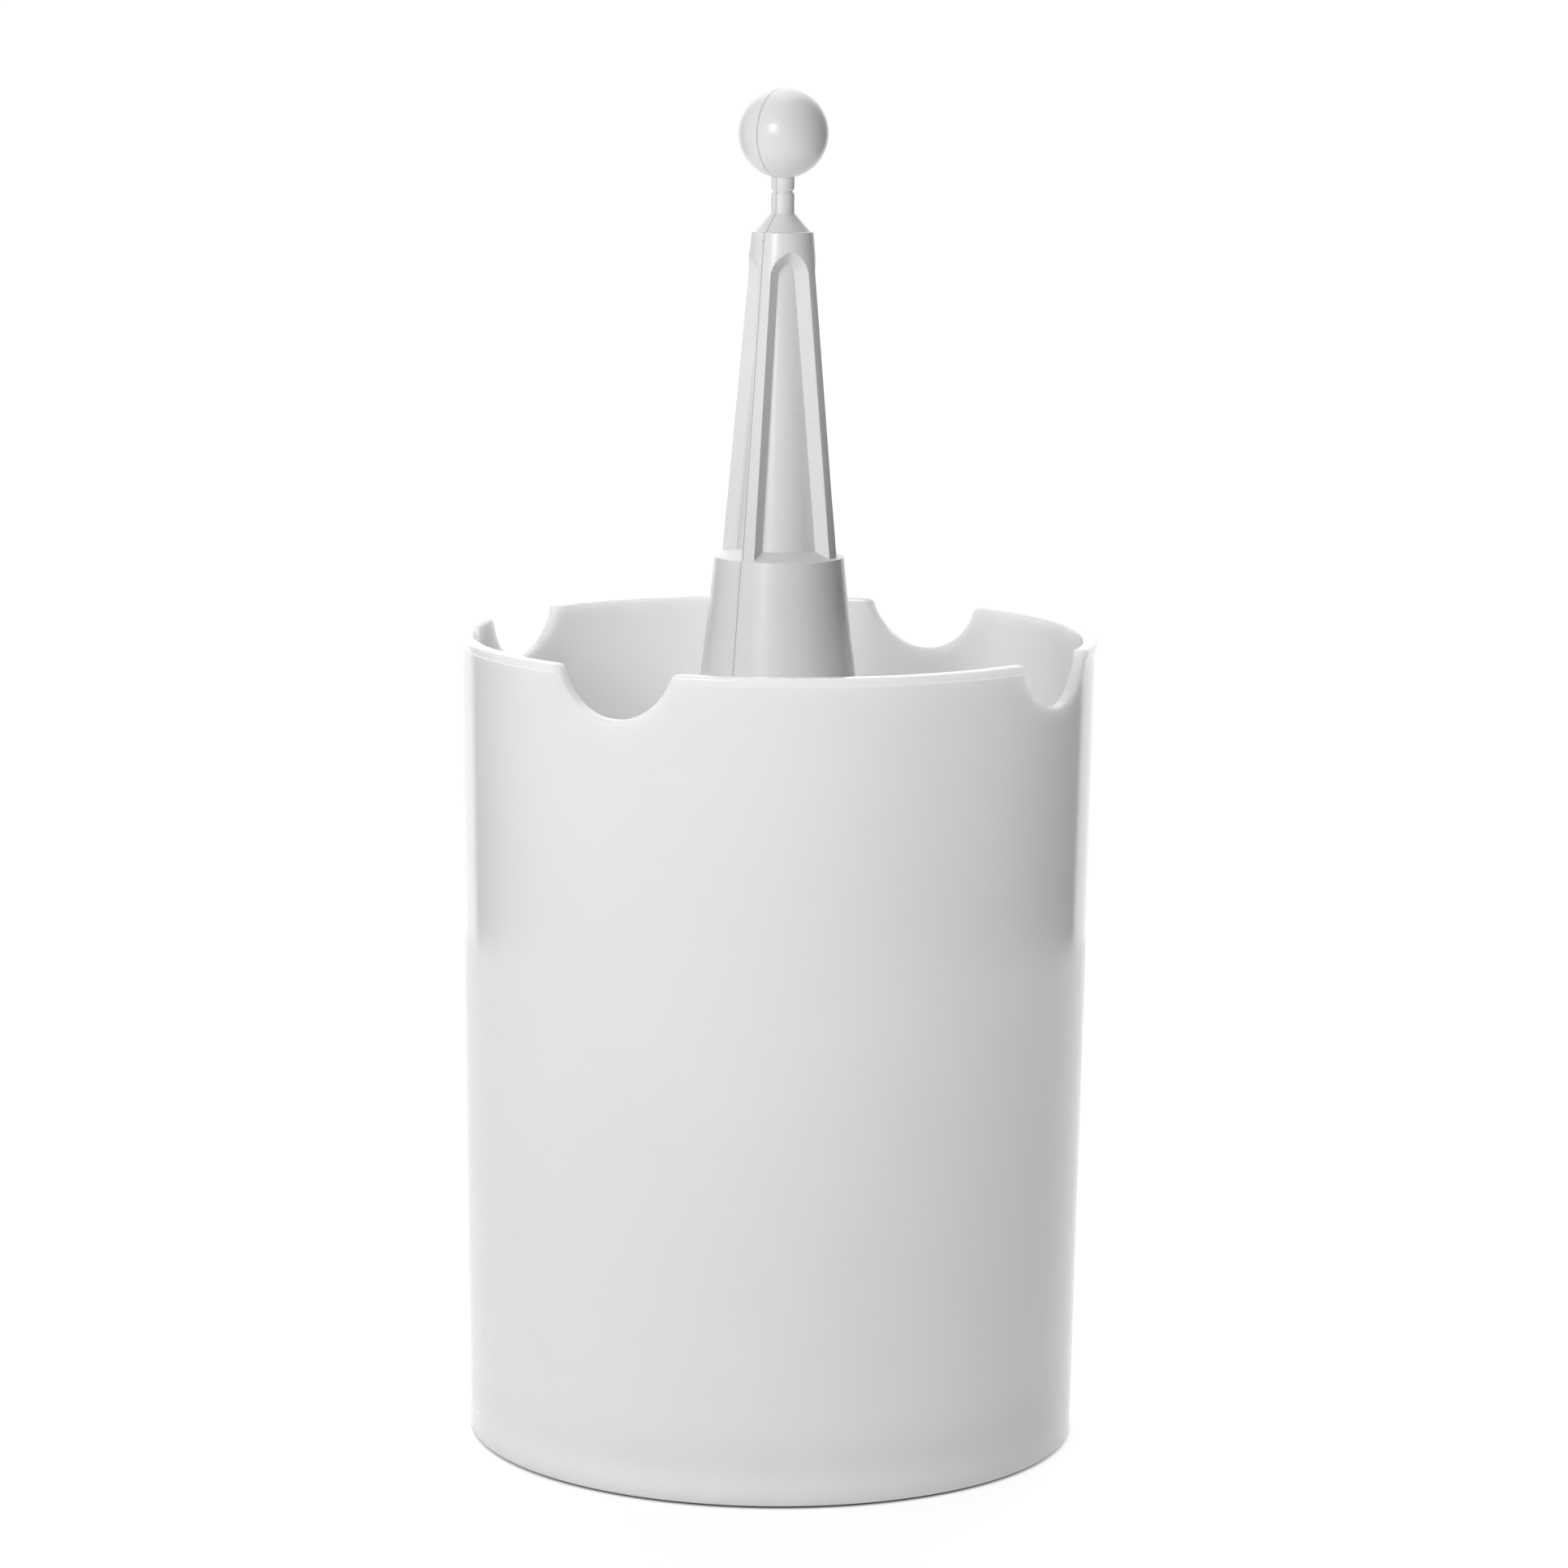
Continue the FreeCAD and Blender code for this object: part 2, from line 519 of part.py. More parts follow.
def make_socket():
    flange_low = HANDLE_FACE + END_WALL
    socket = rod(SOCKET_RADIUS, HANDLE_FACE, SOCKET_TOP)
    flange = hexagon(SOCKET_FLATS, flange_low, flange_low + FLANGE_HEIGHT)
    socket = socket.multiFuse([flange, rod(BOSS_RADIUS, SOCKET_TOP, BOSS_TOP)])
    bore = rod(STUD_RADIUS + THREAD_GAP, HANDLE_FACE, STUD_TOP + STUD_END_GAP)
    rod_hole = rod(ROD_RADIUS + ROD_GAP, SOCKET_TOP, BOSS_TOP)
    return socket.cut(bore).cut(rod_hole).cut(cross_bar(PIN_GAP, OVERRUN))


def make_spine_rod():
    thick_end = SPIRE_TOP - ROD_SHORT
    spine = rod(ROD_RADIUS, ROD_BOTTOM, thick_end).fuse(rod(ROD_TIP_RADIUS, thick_end, BALL_CENTRE))
    return spine.cut(cross_bar(PIN_GAP, OVERRUN))


# ---------------------------------------------------------------- write every piece
def save(name, shapes):
    solids = [solid for shape in shapes for solid in shape.Solids]
    whole = solids[0] if len(solids) == 1 else Part.Compound(solids)
    whole.exportStep(os.path.join("parts", name + ".step"))
    print(name, len(solids), "solids,", round(whole.Volume), "mm3")


os.makedirs("parts", exist_ok=True)
save("pot", [make_pot()])
for number, pad in enumerate(make_pads(), 1):
    save("foot_pad_%d" % number, [pad])
save("drip_tray", [make_tray()])
save("brush_core", [make_core()])
for number in range(ROWS):
    save("bristle_row_%d" % (number + 1), [make_bristle_row(number)])
save("bristle_end", [make_end_bristles()])
save("tuft_staples", make_staples())
save("seal_washer", [make_seal()])
handle_left, handle_right = make_handle_halves()
save("handle_shell_left", [handle_left])
save("handle_shell_right", [handle_right])
save("screw_socket", [make_socket()])
save("spine_rod", [make_spine_rod()])
save("cross_pin", [cross_bar(0, 0)])
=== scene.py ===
import math
import random

import bpy
from bpy.props import FloatProperty, FloatVectorProperty, IntProperty, PointerProperty
from mathutils import Matrix, Vector


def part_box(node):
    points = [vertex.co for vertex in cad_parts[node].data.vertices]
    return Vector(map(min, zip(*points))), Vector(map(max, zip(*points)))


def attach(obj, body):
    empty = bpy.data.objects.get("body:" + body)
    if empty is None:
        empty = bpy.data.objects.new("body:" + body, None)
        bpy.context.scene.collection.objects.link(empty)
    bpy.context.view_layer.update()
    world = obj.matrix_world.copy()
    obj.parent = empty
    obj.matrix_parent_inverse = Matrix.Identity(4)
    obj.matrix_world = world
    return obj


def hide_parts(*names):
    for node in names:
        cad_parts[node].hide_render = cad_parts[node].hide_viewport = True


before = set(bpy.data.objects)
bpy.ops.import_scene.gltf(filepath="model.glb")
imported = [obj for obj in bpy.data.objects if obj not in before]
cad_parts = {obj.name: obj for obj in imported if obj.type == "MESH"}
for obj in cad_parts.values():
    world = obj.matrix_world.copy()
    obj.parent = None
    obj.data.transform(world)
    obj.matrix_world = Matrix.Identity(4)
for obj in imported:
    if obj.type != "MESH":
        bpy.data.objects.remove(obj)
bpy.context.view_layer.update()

bl_info = {
    "name": "Toilet Brush and Holder",
    "version": (1, 0, 0),
    "blender": (4, 5, 0),
    "location": "View3D > Sidebar > Brush Holder",
    "description": "Models the finished look of a toilet brush and its pot around the packed frame",
    "category": "Object",
}

MM = 0.001
UP = Vector((0.0, 0.0, 1.0))
CENTRE = (0.0, 0.0, 0.0)
DIAGONAL = math.radians(45)  # between the rim notches, and between the handle's ribs
GOLDEN_ANGLE = 2.39996
SMOOTH_ANGLE = math.radians(38)
STRAIGHT = math.radians(89)  # half angle past which a corner isn't rounded
MOST = 0.49  # share of an edge that one rounding may take
WELD = 0.002 * MM
SLIVER = 0.0001 * MM
RIM_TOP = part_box("pot")[1].z
POT_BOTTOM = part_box("pot")[0].z
TRAY_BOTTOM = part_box("drip_tray")[0].z
SKIRT_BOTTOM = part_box("handle_shell_left")[0].z
SKIRT_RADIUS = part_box("handle_shell_left")[1].y
CORE_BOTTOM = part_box("brush_core")[0].z
STUD_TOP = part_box("brush_core")[1].z
SHOULDER_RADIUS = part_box("brush_core")[1].x
SEAL_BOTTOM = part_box("seal_washer")[0].z
SEAL_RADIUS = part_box("seal_washer")[1].x
HANDLE_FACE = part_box("seal_washer")[1].z
BRISTLE_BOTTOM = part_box("bristle_end")[0].z
BRISTLE_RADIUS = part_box("bristle_row_1")[1].x
ROWS = 7


# ---------------------------------------------------------------- sizes and colours
def length(name, text, default):
    return FloatProperty(name=name, description=text, default=default, subtype="DISTANCE", unit="LENGTH",
                         precision=5)


def colour(name, text, default):
    return FloatVectorProperty(name=name, description=text, default=default, subtype="COLOR", min=0, max=1)


class PotSizes(bpy.types.PropertyGroup):
    rim_radius: length("Rim radius", "Radius over the rim bead", 0.0787)
    base_radius: length("Base radius", "Radius at the foot", 0.0753)
    wall: length("Wall", "Thickness of the wall", 0.0034)
    floor: length("Floor", "Thickness of the floor", 0.003)
    foot_ring: length("Foot ring", "Width of the ring the pot stands back on", 0.005)
    underside_rise: length("Underside rise", "Underside above the foot ring", 0.0016)
    bead_height: length("Bead height", "Height of the rim bead", 0.0022)
    bead_proud: length("Bead proud", "Bead outside the wall", 0.0004)
    lip: length("Lip rounding", "Rounding of the rim's two top edges", 0.0008)
    inner_corner: length("Inner corner", "Rounding between wall and floor", 0.005)
    notch_radius: length("Notch radius", "Radius of the four rim notches", 0.016)
    notch_depth: length("Notch depth", "Depth of a notch below the rim", 0.0118)
    notch_shoulder: length("Notch shoulder", "Rounding where a notch meets the rim", 0.002)
    notch_edge: length("Notch edge", "Rounding of a notch's outer edge", 0.0014)
    pad_circle: length("Pad circle", "Radius the foot pads stand on", 0.060)
    pad_radius: length("Pad radius", "Radius of a foot pad", 0.007)


class TraySizes(bpy.types.PropertyGroup):
    wall: length("Wall", "Thickness of the tray's wall, floor and collar", 0.002)
    height: length("Height", "Height of the tray's lip above its underside", 0.012)
    lip_radius: length("Lip radius", "Outside radius of the lip", 0.07097)
    foot_radius: length("Foot radius", "Outside radius of the foot", 0.06597)
    seat_radius: length("Seat radius", "Inside radius of the collar", 0.039)
    seat_height: length("Seat height", "Collar above the tray's floor", 0.035)
    drain_width: length("Drain width", "Width of a drain slot", 0.006)
    drain_height: length("Drain height", "Height of a drain slot", 0.009)
    drains: IntProperty(name="Drains", description="Number of drain slots", default=8, min=4, max=16)


class HeadSizes(bpy.types.PropertyGroup):
    core_radius: length("Core radius", "Radius of the core that holds the bristles", 0.011)
    core_edge: length("Core edge", "Bevel of the core's ends", 0.0015)
    stud_radius: length("Stud radius", "Outside radius of the screw thread", 0.008)
    thread_depth: length("Thread depth", "Depth of the screw thread", 0.0008)
    thread_pitch: length("Thread pitch", "Rise of the thread in one turn", 0.004)
    row_pitch: length("Row pitch", "Distance between rows of bristles", 0.0105)
    first_row: length("First row", "First row above the core's lower end", 0.011)
    tuft_radius: length("Tuft radius", "Radius of a tuft in its hole", 0.00175)
    tufts: IntProperty(name="Tufts", description="Tufts in a row", default=10, min=6, max=14)
    filaments: IntProperty(name="Filaments", description="Bristles in a tuft", default=54, min=10, max=60)
    filament: length("Filament", "Radius of one bristle", 0.00019)


class HandleSizes(bpy.types.PropertyGroup):
    skirt_height: length("Skirt height", "Height of the plain cone", 0.12325)
    skirt_top: length("Skirt top", "Radius at the top of the plain cone", 0.0159)
    skirt_wall: length("Skirt wall", "Thickness of the moulding", 0.0024)
    ledge: length("Ledge", "Bevel from the skirt up to the spire", 0.0004)
    spire_height: length("Spire height", "Height of the panelled spire", 0.0791)
    spire_base: length("Spire base", "Radius at the spire's foot", 0.0153)
    spire_top: length("Spire top", "Radius at the spire's top", 0.0076)
    rib_half: length("Rib half width", "Half the width of a rib", 0.00175)
    panel_depth: length("Panel depth", "Depth of a recessed panel", 0.004)
    sill_rise: length("Sill rise", "Bevel at a panel's foot", 0.00175)
    edge: length("Edge rounding", "Rounding round each panel", 0.00028)
    cone_height: length("Cone height", "Cone under the neck", 0.0044)
    cone_radius: length("Cone radius", "Foot of the cone under the neck", 0.0068)
    neck_radius: length("Neck radius", "Radius of the neck", 0.00286)
    neck_length: length("Neck length", "Neck between the cone and the ball", 0.0086)
    neck_groove: length("Neck groove", "Depth of the groove round the neck", 0.0005)
    ball_radius: length("Ball radius", "Radius of the ball", 0.011)
    part_line: FloatProperty(name="Mould line", description="Mould line from the front rib",
                             default=math.radians(-5.5), subtype="ANGLE", unit="ROTATION")
    part_gap: length("Mould gap", "Opening between the two halves", 0.00005)


class Finishes(bpy.types.PropertyGroup):
    pot: colour("Pot", "Glossy plastic of the pot", (0.705, 0.705, 0.705))
    handle: colour("Handle", "Glossy plastic of the handle", (0.785, 0.785, 0.785))
    tray: colour("Tray", "Satin plastic of the tray", (0.74, 0.75, 0.75))
    core: colour("Core", "Plastic of the brush core", (0.74, 0.74, 0.72))
    bristle: colour("Bristle", "Nylon bristles", (0.93, 0.93, 0.91))
    pad: colour("Foot pad", "Grey rubber", (0.30, 0.30, 0.31))
    seal: colour("Seal", "Black rubber", (0.02, 0.02, 0.021))
    socket: colour("Socket", "Natural nylon", (0.62, 0.61, 0.56))
    steel: colour("Steel", "Stainless rod and wire", (0.60, 0.60, 0.59))
    floor: colour("Floor", "Pale studio floor", (0.22, 0.22, 0.22))


# ---------------------------------------------------------------- modelling by hand
def shares(steps):
    """0 to 1 in even steps, both ends included."""
    return [step / steps for step in range(steps + 1)]


def clamped(value):
    return min(1.0, max(0.0, value))


def polar(radius, angle, z=0.0):
    return Vector((radius * math.cos(angle), radius * math.sin(angle), z))


def deselect():
    if bpy.context.object and bpy.context.object.mode != "OBJECT":
        bpy.ops.object.mode_set(mode="OBJECT")
    bpy.ops.object.select_all(action="DESELECT")


def pick(piece, *others):
    deselect()
    for one in others:
        one.select_set(True)
    piece.select_set(True)
    bpy.context.view_layer.objects.active = piece


def named(name):
    piece = bpy.context.object
    piece.name = name
    piece.data.name = name
    return piece


def edit(piece):
    pick(piece)
    bpy.ops.object.mode_set(mode="EDIT")
    bpy.ops.mesh.select_all(action="SELECT")


def leave():
    bpy.ops.object.mode_set(mode="OBJECT")


def rounded(corners, steps=4):
    """Outline of (radius, height) points with the corners rounded; a corner is (r, z) or (r, z, rounding)."""
    points = []
    count = len(corners)
    for at, corner in enumerate(corners):
        here = Vector(corner[:2])
        if len(corner) < 3:
            points.append(here)
            continue
        before = Vector(corners[at - 1][:2]) - here
        after = Vector(corners[(at + 1) % count][:2]) - here
        half = before.angle(after) / 2
        if half > STRAIGHT:
            points.append(here)
            continue
        reach = min(corner[2] / math.tan(half), MOST * before.length, MOST * after.length)
        start = here + before.normalized() * reach
        end = here + after.normalized() * reach
        radius = reach * math.tan(half)
        middle = here + (before.normalized() + after.normalized()).normalized() * (radius / math.sin(half))
        turn = (start - middle).angle_signed(end - middle)
        for share in shares(steps):
            arm = start - middle
            arm.rotate(Matrix.Rotation(-turn * share, 2))
            points.append(middle + arm)
    return points


def spun(name, corners, steps, closed=True, rounding=4, inward=False):
    """A turned piece: one point is drawn out into the outline by extruding, then spun about Z."""
    points = rounded(corners, rounding)
    deselect()
    bpy.ops.mesh.primitive_plane_add(size=MM)
    piece = named(name)
    edit(piece)
    bpy.ops.mesh.merge(type="CENTER")
    bpy.ops.transform.translate(value=(points[0].x, 0.0, points[0].y))
    for before, after in zip(points, points[1:]):
        bpy.ops.mesh.extrude_region_move(
            TRANSFORM_OT_translate={"value": (after.x - before.x, 0.0, after.y - before.y)})
    if closed:
        leave()
        for vert in piece.data.vertices:
            vert.select = False
        for end in (points[0], points[-1]):
            spot = Vector((end.x, 0, end.y))
            min(piece.data.vertices, key=lambda vert: (vert.co - spot).length).select = True
        bpy.ops.object.mode_set(mode="EDIT")
        bpy.ops.mesh.edge_face_add()
    bpy.ops.mesh.select_all(action="SELECT")
    bpy.ops.mesh.spin(steps=steps, angle=math.tau, center=CENTRE, axis=UP, use_auto_merge=True)
    tidy_shell(inward)
    leave()
    return piece


def tidy_shell(inward=False):
    """Seams and poles closed, faces pointing outwards."""
    bpy.ops.mesh.select_all(action="SELECT")
    bpy.ops.mesh.remove_doubles(threshold=WELD)
    bpy.ops.mesh.dissolve_degenerate(threshold=SLIVER)
    bpy.ops.mesh.select_all(action="SELECT")
    bpy.ops.mesh.normals_make_consistent(inside=inward)


def stacked(name, rings, cutter=False):
    """A closed piece from a circle that is extruded ring by ring, each ring then set to its outline."""
    count = len(rings[0])
    deselect()
    bpy.ops.mesh.primitive_circle_add(vertices=count, radius=1.0, fill_type="NGON")
    piece = named(name)
    edit(piece)
    for _ in rings[1:]:
        bpy.ops.mesh.extrude_region_move(TRANSFORM_OT_translate={"value": (0.0, 0.0, 1.0)})
    leave()
    for vert in piece.data.vertices:
        ring = round(vert.co.z)
        turn = math.atan2(-vert.co.x, vert.co.y) / math.tau
        vert.co = rings[ring][round(turn * count) % count]
    edit(piece)
    tidy_shell()
    if cutter:
        bpy.ops.mesh.quads_convert_to_tris(quad_method="SHORTEST_DIAGONAL", ngon_method="BEAUTY")
    leave()
    return piece


def cut(piece, cutter, operation="DIFFERENCE"):
    """Boolean with another piece, which is used up."""
    pick(piece)
    bpy.ops.object.modifier_add(type="BOOLEAN")
    boolean = piece.modifiers[-1]
    boolean.operation = operation
    boolean.solver = "EXACT"
    boolean.object = cutter
    bpy.ops.object.modifier_apply(modifier=boolean.name)
    bpy.data.objects.remove(cutter)
    return piece


def joined(pieces):
    pick(*pieces)
    bpy.ops.object.join()
    return pieces[0]


def copied(piece, name):
    pick(piece)
    bpy.ops.object.duplicate()
    return named(name)


def turned(piece, angle):
    """Turns a piece's mesh about the Z axis."""
    edit(piece)
    bpy.ops.transform.rotate(value=-angle, orient_axis="Z", orient_type="GLOBAL", center_override=CENTRE)
    leave()
    return piece


def around(piece, count, first=0.0):
    """Evenly turned copies of a piece, joined into one."""
    copies = [piece] + [copied(piece, piece.name + "_copy") for _ in range(count - 1)]
    for at, one in enumerate(copies):
        turned(one, first + math.tau * at / count)
    return joined(copies)


def cylinder(name, sides, radius, depth, place, turn=CENTRE):
    deselect()
    bpy.ops.mesh.primitive_cylinder_add(vertices=sides, radius=radius, depth=depth, location=place,
                                        rotation=turn)
    bpy.ops.object.transform_apply(location=True, rotation=True)
    return named(name)


def smoothed(piece):
    """Smooth shading that keeps edges and lets the large faces lead."""
    pick(piece)
    bpy.ops.object.shade_smooth_by_angle(angle=SMOOTH_ANGLE)
    bpy.ops.object.modifier_add(type="WEIGHTED_NORMAL")
    normals = piece.modifiers[-1]
    normals.keep_sharp = True
    normals.weight = 60
    bpy.ops.object.modifier_apply(modifier=normals.name)


def done(piece, body, material, node_name):
    """Gives a piece its finish and hands it to the frame."""
    piece.data.materials.clear()
    piece.data.materials.append(material)
    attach(piece, body)
    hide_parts(node_name)


# ---------------------------------------------------------------- finishes
class Wire:
    """A value on its way through a material; arithmetic on it adds Math nodes."""

    def __init__(self, tree, socket):
        self.tree = tree
        self.socket = socket

    def math(self, operation, *values):
        return node(self.tree, "ShaderNodeMath", {"operation": operation}, dict(enumerate(values)))

    def __add__(self, other):
        return self.math("ADD", self, other)

    def __radd__(self, other):
        return self.math("ADD", other, self)

    def __sub__(self, other):
        return self.math("SUBTRACT", self, other)

    def __rsub__(self, other):
        return self.math("SUBTRACT", other, self)

    def __mul__(self, other):
        return self.math("MULTIPLY", self, other)

    def __rmul__(self, other):
        return self.math("MULTIPLY", other, self)

    def __abs__(self):
        return self.math("ABSOLUTE", self)

    def step(self, low, high):
        """0 below low, 1 above high and smooth between them."""
        return node(self.tree, "ShaderNodeMapRange", {"interpolation_type": "SMOOTHSTEP"},
                    {"Value": self, "From Min": low, "From Max": high})


def plug(tree, socket, value):
    """Links a wire to a socket, or sets the socket's own value."""
    if isinstance(value, Wire):
        tree.links.new(value.socket, socket)
    else:
        socket.default_value = value


def node(tree, kind, settings=None, values=None, output=0):
    """Adds any node: its settings first, then the values or links of its sockets."""
    made = tree.nodes.new(kind)
    for key, value in (settings or {}).items():
        setattr(made, key, value)
    for key, value in (values or {}).items():
        plug(tree, made.inputs[key], value)
    return Wire(tree, made.outputs[output]) if made.outputs else made


def tint(shade, share=1.0, lift=0.0):
    """A colour with its alpha, dimmed to a share of itself and lifted towards white."""
    return (*[part * share + lift for part in shade], 1.0)


class Finish:
    """A material with its own object coordinates, built up a layer at a time."""

    def __init__(self, name):
        self.material = bpy.data.materials.new(name)
        self.material.use_nodes = True
        self.tree = self.material.node_tree
        self.shader = self.tree.nodes["Principled BSDF"]
        self.place = node(self.tree, "ShaderNodeTexCoord", output="Object")

    def node(self, kind, settings=None, values=None, output=0):
        return node(self.tree, kind, settings, values, output)

    def noise(self, size, detail=2.0, stretch=(1.0, 1.0, 1.0), roughness=0.5, turn=(0.0, 0.0, 0.0)):
        """Noise whose features are about this large, in metres."""
        where = self.node("ShaderNodeMapping", {}, {"Vector": self.place, "Rotation": turn,
                                                    "Scale": tuple(1.0 / part for part in stretch)})
        return self.node("ShaderNodeTexNoise", {}, {"Vector": where, "Scale": 1.0 / size, "Detail": detail,
                                                    "Roughness": roughness}, "Fac")

    def axis(self, letter):
        return self.node("ShaderNodeSeparateXYZ", {}, {"Vector": self.place}, letter)

    def mix(self, amount, first, second):
        """Two colours mixed; the Mix node's colour sockets are 6 and 7, and its colour output is 2."""
        return self.node("ShaderNodeMix", {"data_type": "RGBA"}, {0: amount, 6: first, 7: second}, 2)

    def bump(self, height, distance, strength, under=None):
        values = {"Height": height, "Distance": distance, "Strength": strength}
        if under:
            values["Normal"] = under
        return self.node("ShaderNodeBump", {}, values)

    def feed(self, **sockets):
        for key, value in sockets.items():
            plug(self.tree, self.shader.inputs[key.replace("_", " ")], value)
        return self.material


NATURAL_NYLON = (0.86, 0.85, 0.80)
SPECKS_START, SPECKS_FULL, SPECKS_THIN, SPECKS_END = 0.286, 0.290, 0.2985, 0.300  # heights on the mould line


def gloss_plastic(name, shade, scuffs_below, glow, sheen, part_line=None):
    """Glossy moulded plastic with slow flow waves and fine scuffs, most of them low down.

    Where part_line gives its angle, a mould line runs down the piece.
    """
    finish = Finish(name)
    waves = finish.noise(0.045, 1.0, (1.0, 1.0, 2.6))
    skin = finish.noise(0.0022, 2.0)
    cloud = finish.noise(0.03, 3.0)
    scratch_a = finish.noise(0.0016, 3.0, (14.0, 14.0, 0.35), 0.6, (0.5, 0.2, 0.1))
    scratch_b = finish.noise(0.0018, 3.0, (0.3, 0.3, 12.0), 0.6, (0.15, 0.7, 0.3))
    height = finish.axis("Z")
    low = 1.0 - height.step(scuffs_below * 0.3, scuffs_below)
    patches = finish.noise(0.02, 2.0).step(0.5, 0.68)
    fine = (scratch_a.step(0.67, 0.71) + scratch_b.step(0.69, 0.73)) * patches
    scratches = fine * (0.25 + 0.75 * low)
    tone = finish.mix(cloud.step(0.3, 0.75) * 0.5, tint(shade), tint(shade, 0.965))
    rough = sheen + 0.05 * cloud + 0.22 * scratches
    normal = finish.bump(waves, 0.00035, 0.55)
    normal = finish.bump(skin, 0.000012, 0.5, normal)
    normal = finish.bump(scratches, -0.00002, 0.6, normal)
    if part_line is not None:
        across = finish.axis("X") * math.cos(part_line) + finish.axis("Y") * math.sin(part_line)
        line = 1.0 - abs(across).step(0.06 * MM, 0.24 * MM)
        near = 1.0 - abs(across).step(0.4 * MM, 1.1 * MM)
        specks = finish.noise(0.0005, 2.0).step(0.60, 0.68)
        spots = specks * near * height.step(SPECKS_START, SPECKS_FULL)
        spots = spots * (1.0 - height.step(SPECKS_THIN, SPECKS_END))
        normal = finish.bump(line, -0.00009, 0.9, normal)
        normal = finish.bump(spots, 0.00012, 0.9, normal)
        tone = finish.mix(line * 0.55, tone, tint(shade, 0.62))
        rough = rough + 0.15 * line
    return finish.feed(Base_Color=tone, Roughness=rough, Normal=normal, IOR=1.44, Subsurface_Weight=glow,
                       Subsurface_Radius=(1.0, 1.0, 1.0), Subsurface_Scale=0.014)


def satin_plastic(name, shade, grain, depth, rough):
    """Spark-eroded satin moulding with slow tone changes."""
    finish = Finish(name)
    texture = finish.noise(grain, 4.0)
    cloud = finish.noise(0.018, 3.0)
    flow = finish.noise(0.01, 2.0, (1.0, 1.0, 5.0))
    tone = finish.mix(cloud.step(0.35, 0.7) * 0.6, tint(shade), tint(shade, 0.94))
    normal = finish.bump(flow, 0.0002, 0.3)
    normal = finish.bump(texture, depth, 0.6, normal)
    return finish.feed(Base_Color=tone, Roughness=rough + 0.16 * texture, Normal=normal, IOR=1.5)


def bristle_nylon(name, shade):
    """Crimped nylon filament, a little different from one to the next."""
    finish = Finish(name)
    each = finish.noise(0.0016, 2.0)
    band = finish.noise(0.007, 3.0)
    crimp = finish.noise(0.0006, 1.0)
    tone = finish.mix(each.step(0.3, 0.7), tint(shade, 0.86), tint(shade))
    tone = finish.mix(band.step(0.5, 0.75) * 0.35, tone, tint(NATURAL_NYLON))
    return finish.feed(Base_Color=tone, Roughness=0.26 + 0.2 * each, Normal=finish.bump(crimp, 0.00004, 0.5),
                       IOR=1.53)


def rubber(name, shade, grain):
    """Matt rubber with a pitted skin and a trace of dust."""
    finish = Finish(name)
    pits = finish.noise(grain, 4.0)
    dust = finish.noise(0.004, 4.0).step(0.5, 0.75)
    tone = finish.mix(dust * 0.25, tint(shade), tint(shade, 0.5, 0.2))
    return finish.feed(Base_Color=tone, Roughness=0.62 + 0.25 * pits, Normal=finish.bump(pits, 0.00005, 0.7),
                       IOR=1.52)


def drawn_steel(name, shade):
    """Bright drawn steel with fine lines along it."""
    finish = Finish(name)
    lines = finish.noise(0.0004, 3.0, (1.0, 1.0, 60.0))
    spots = finish.noise(0.006, 3.0).step(0.55, 0.75)
    tone = finish.mix(lines.step(0.35, 0.65), tint(shade, 0.82), tint(shade))
    return finish.feed(Base_Color=tone, Metallic=1.0, Roughness=0.2 + 0.18 * lines + 0.1 * spots,
                       Normal=finish.bump(lines, 0.00001, 0.6))


# ---------------------------------------------------------------- pot
def wall_radius(sizes, z):
    """Outside of the pot's plain wall at a height."""
    top = sizes.rim_radius - sizes.bead_proud
    return sizes.base_radius + (top - sizes.base_radius) * (z - POT_BOTTOM) / (RIM_TOP - POT_BOTTOM)


def notch_outline(sizes, grow):
    """(along, height) points round the notch cutter, grown by so much into the wall."""
    middle = RIM_TOP - sizes.notch_depth + sizes.notch_radius
    shoulder = RIM_TOP - sizes.notch_shoulder
    reach = sizes.notch_radius + sizes.notch_shoulder
    across = math.sqrt(reach ** 2 - (middle - shoulder) ** 2)
    swing = math.atan2(middle - shoulder, across)
    radius = sizes.notch_radius + grow
    half = []
    for share in shares(28):
        angle = (math.pi / 2 - swing) * share - math.pi / 2
        half.append((radius * math.cos(angle), middle + radius * math.sin(angle)))
    for share in shares(10)[1:]:
        angle = math.pi - swing - (math.pi / 2 - swing) * share
        radius = sizes.notch_shoulder - min(grow, 0.7 * sizes.notch_shoulder) * (1 - share ** 2)
        half.append((across + radius * math.cos(angle), shoulder + radius * math.sin(angle)))
    over = RIM_TOP + 6 * MM
    half += [(across, RIM_TOP + 2 * MM), (across, over), (across * 0.5, over)]
    return half + [(0.0, over)] + [(-along, z) for along, z in reversed(half[1:])]


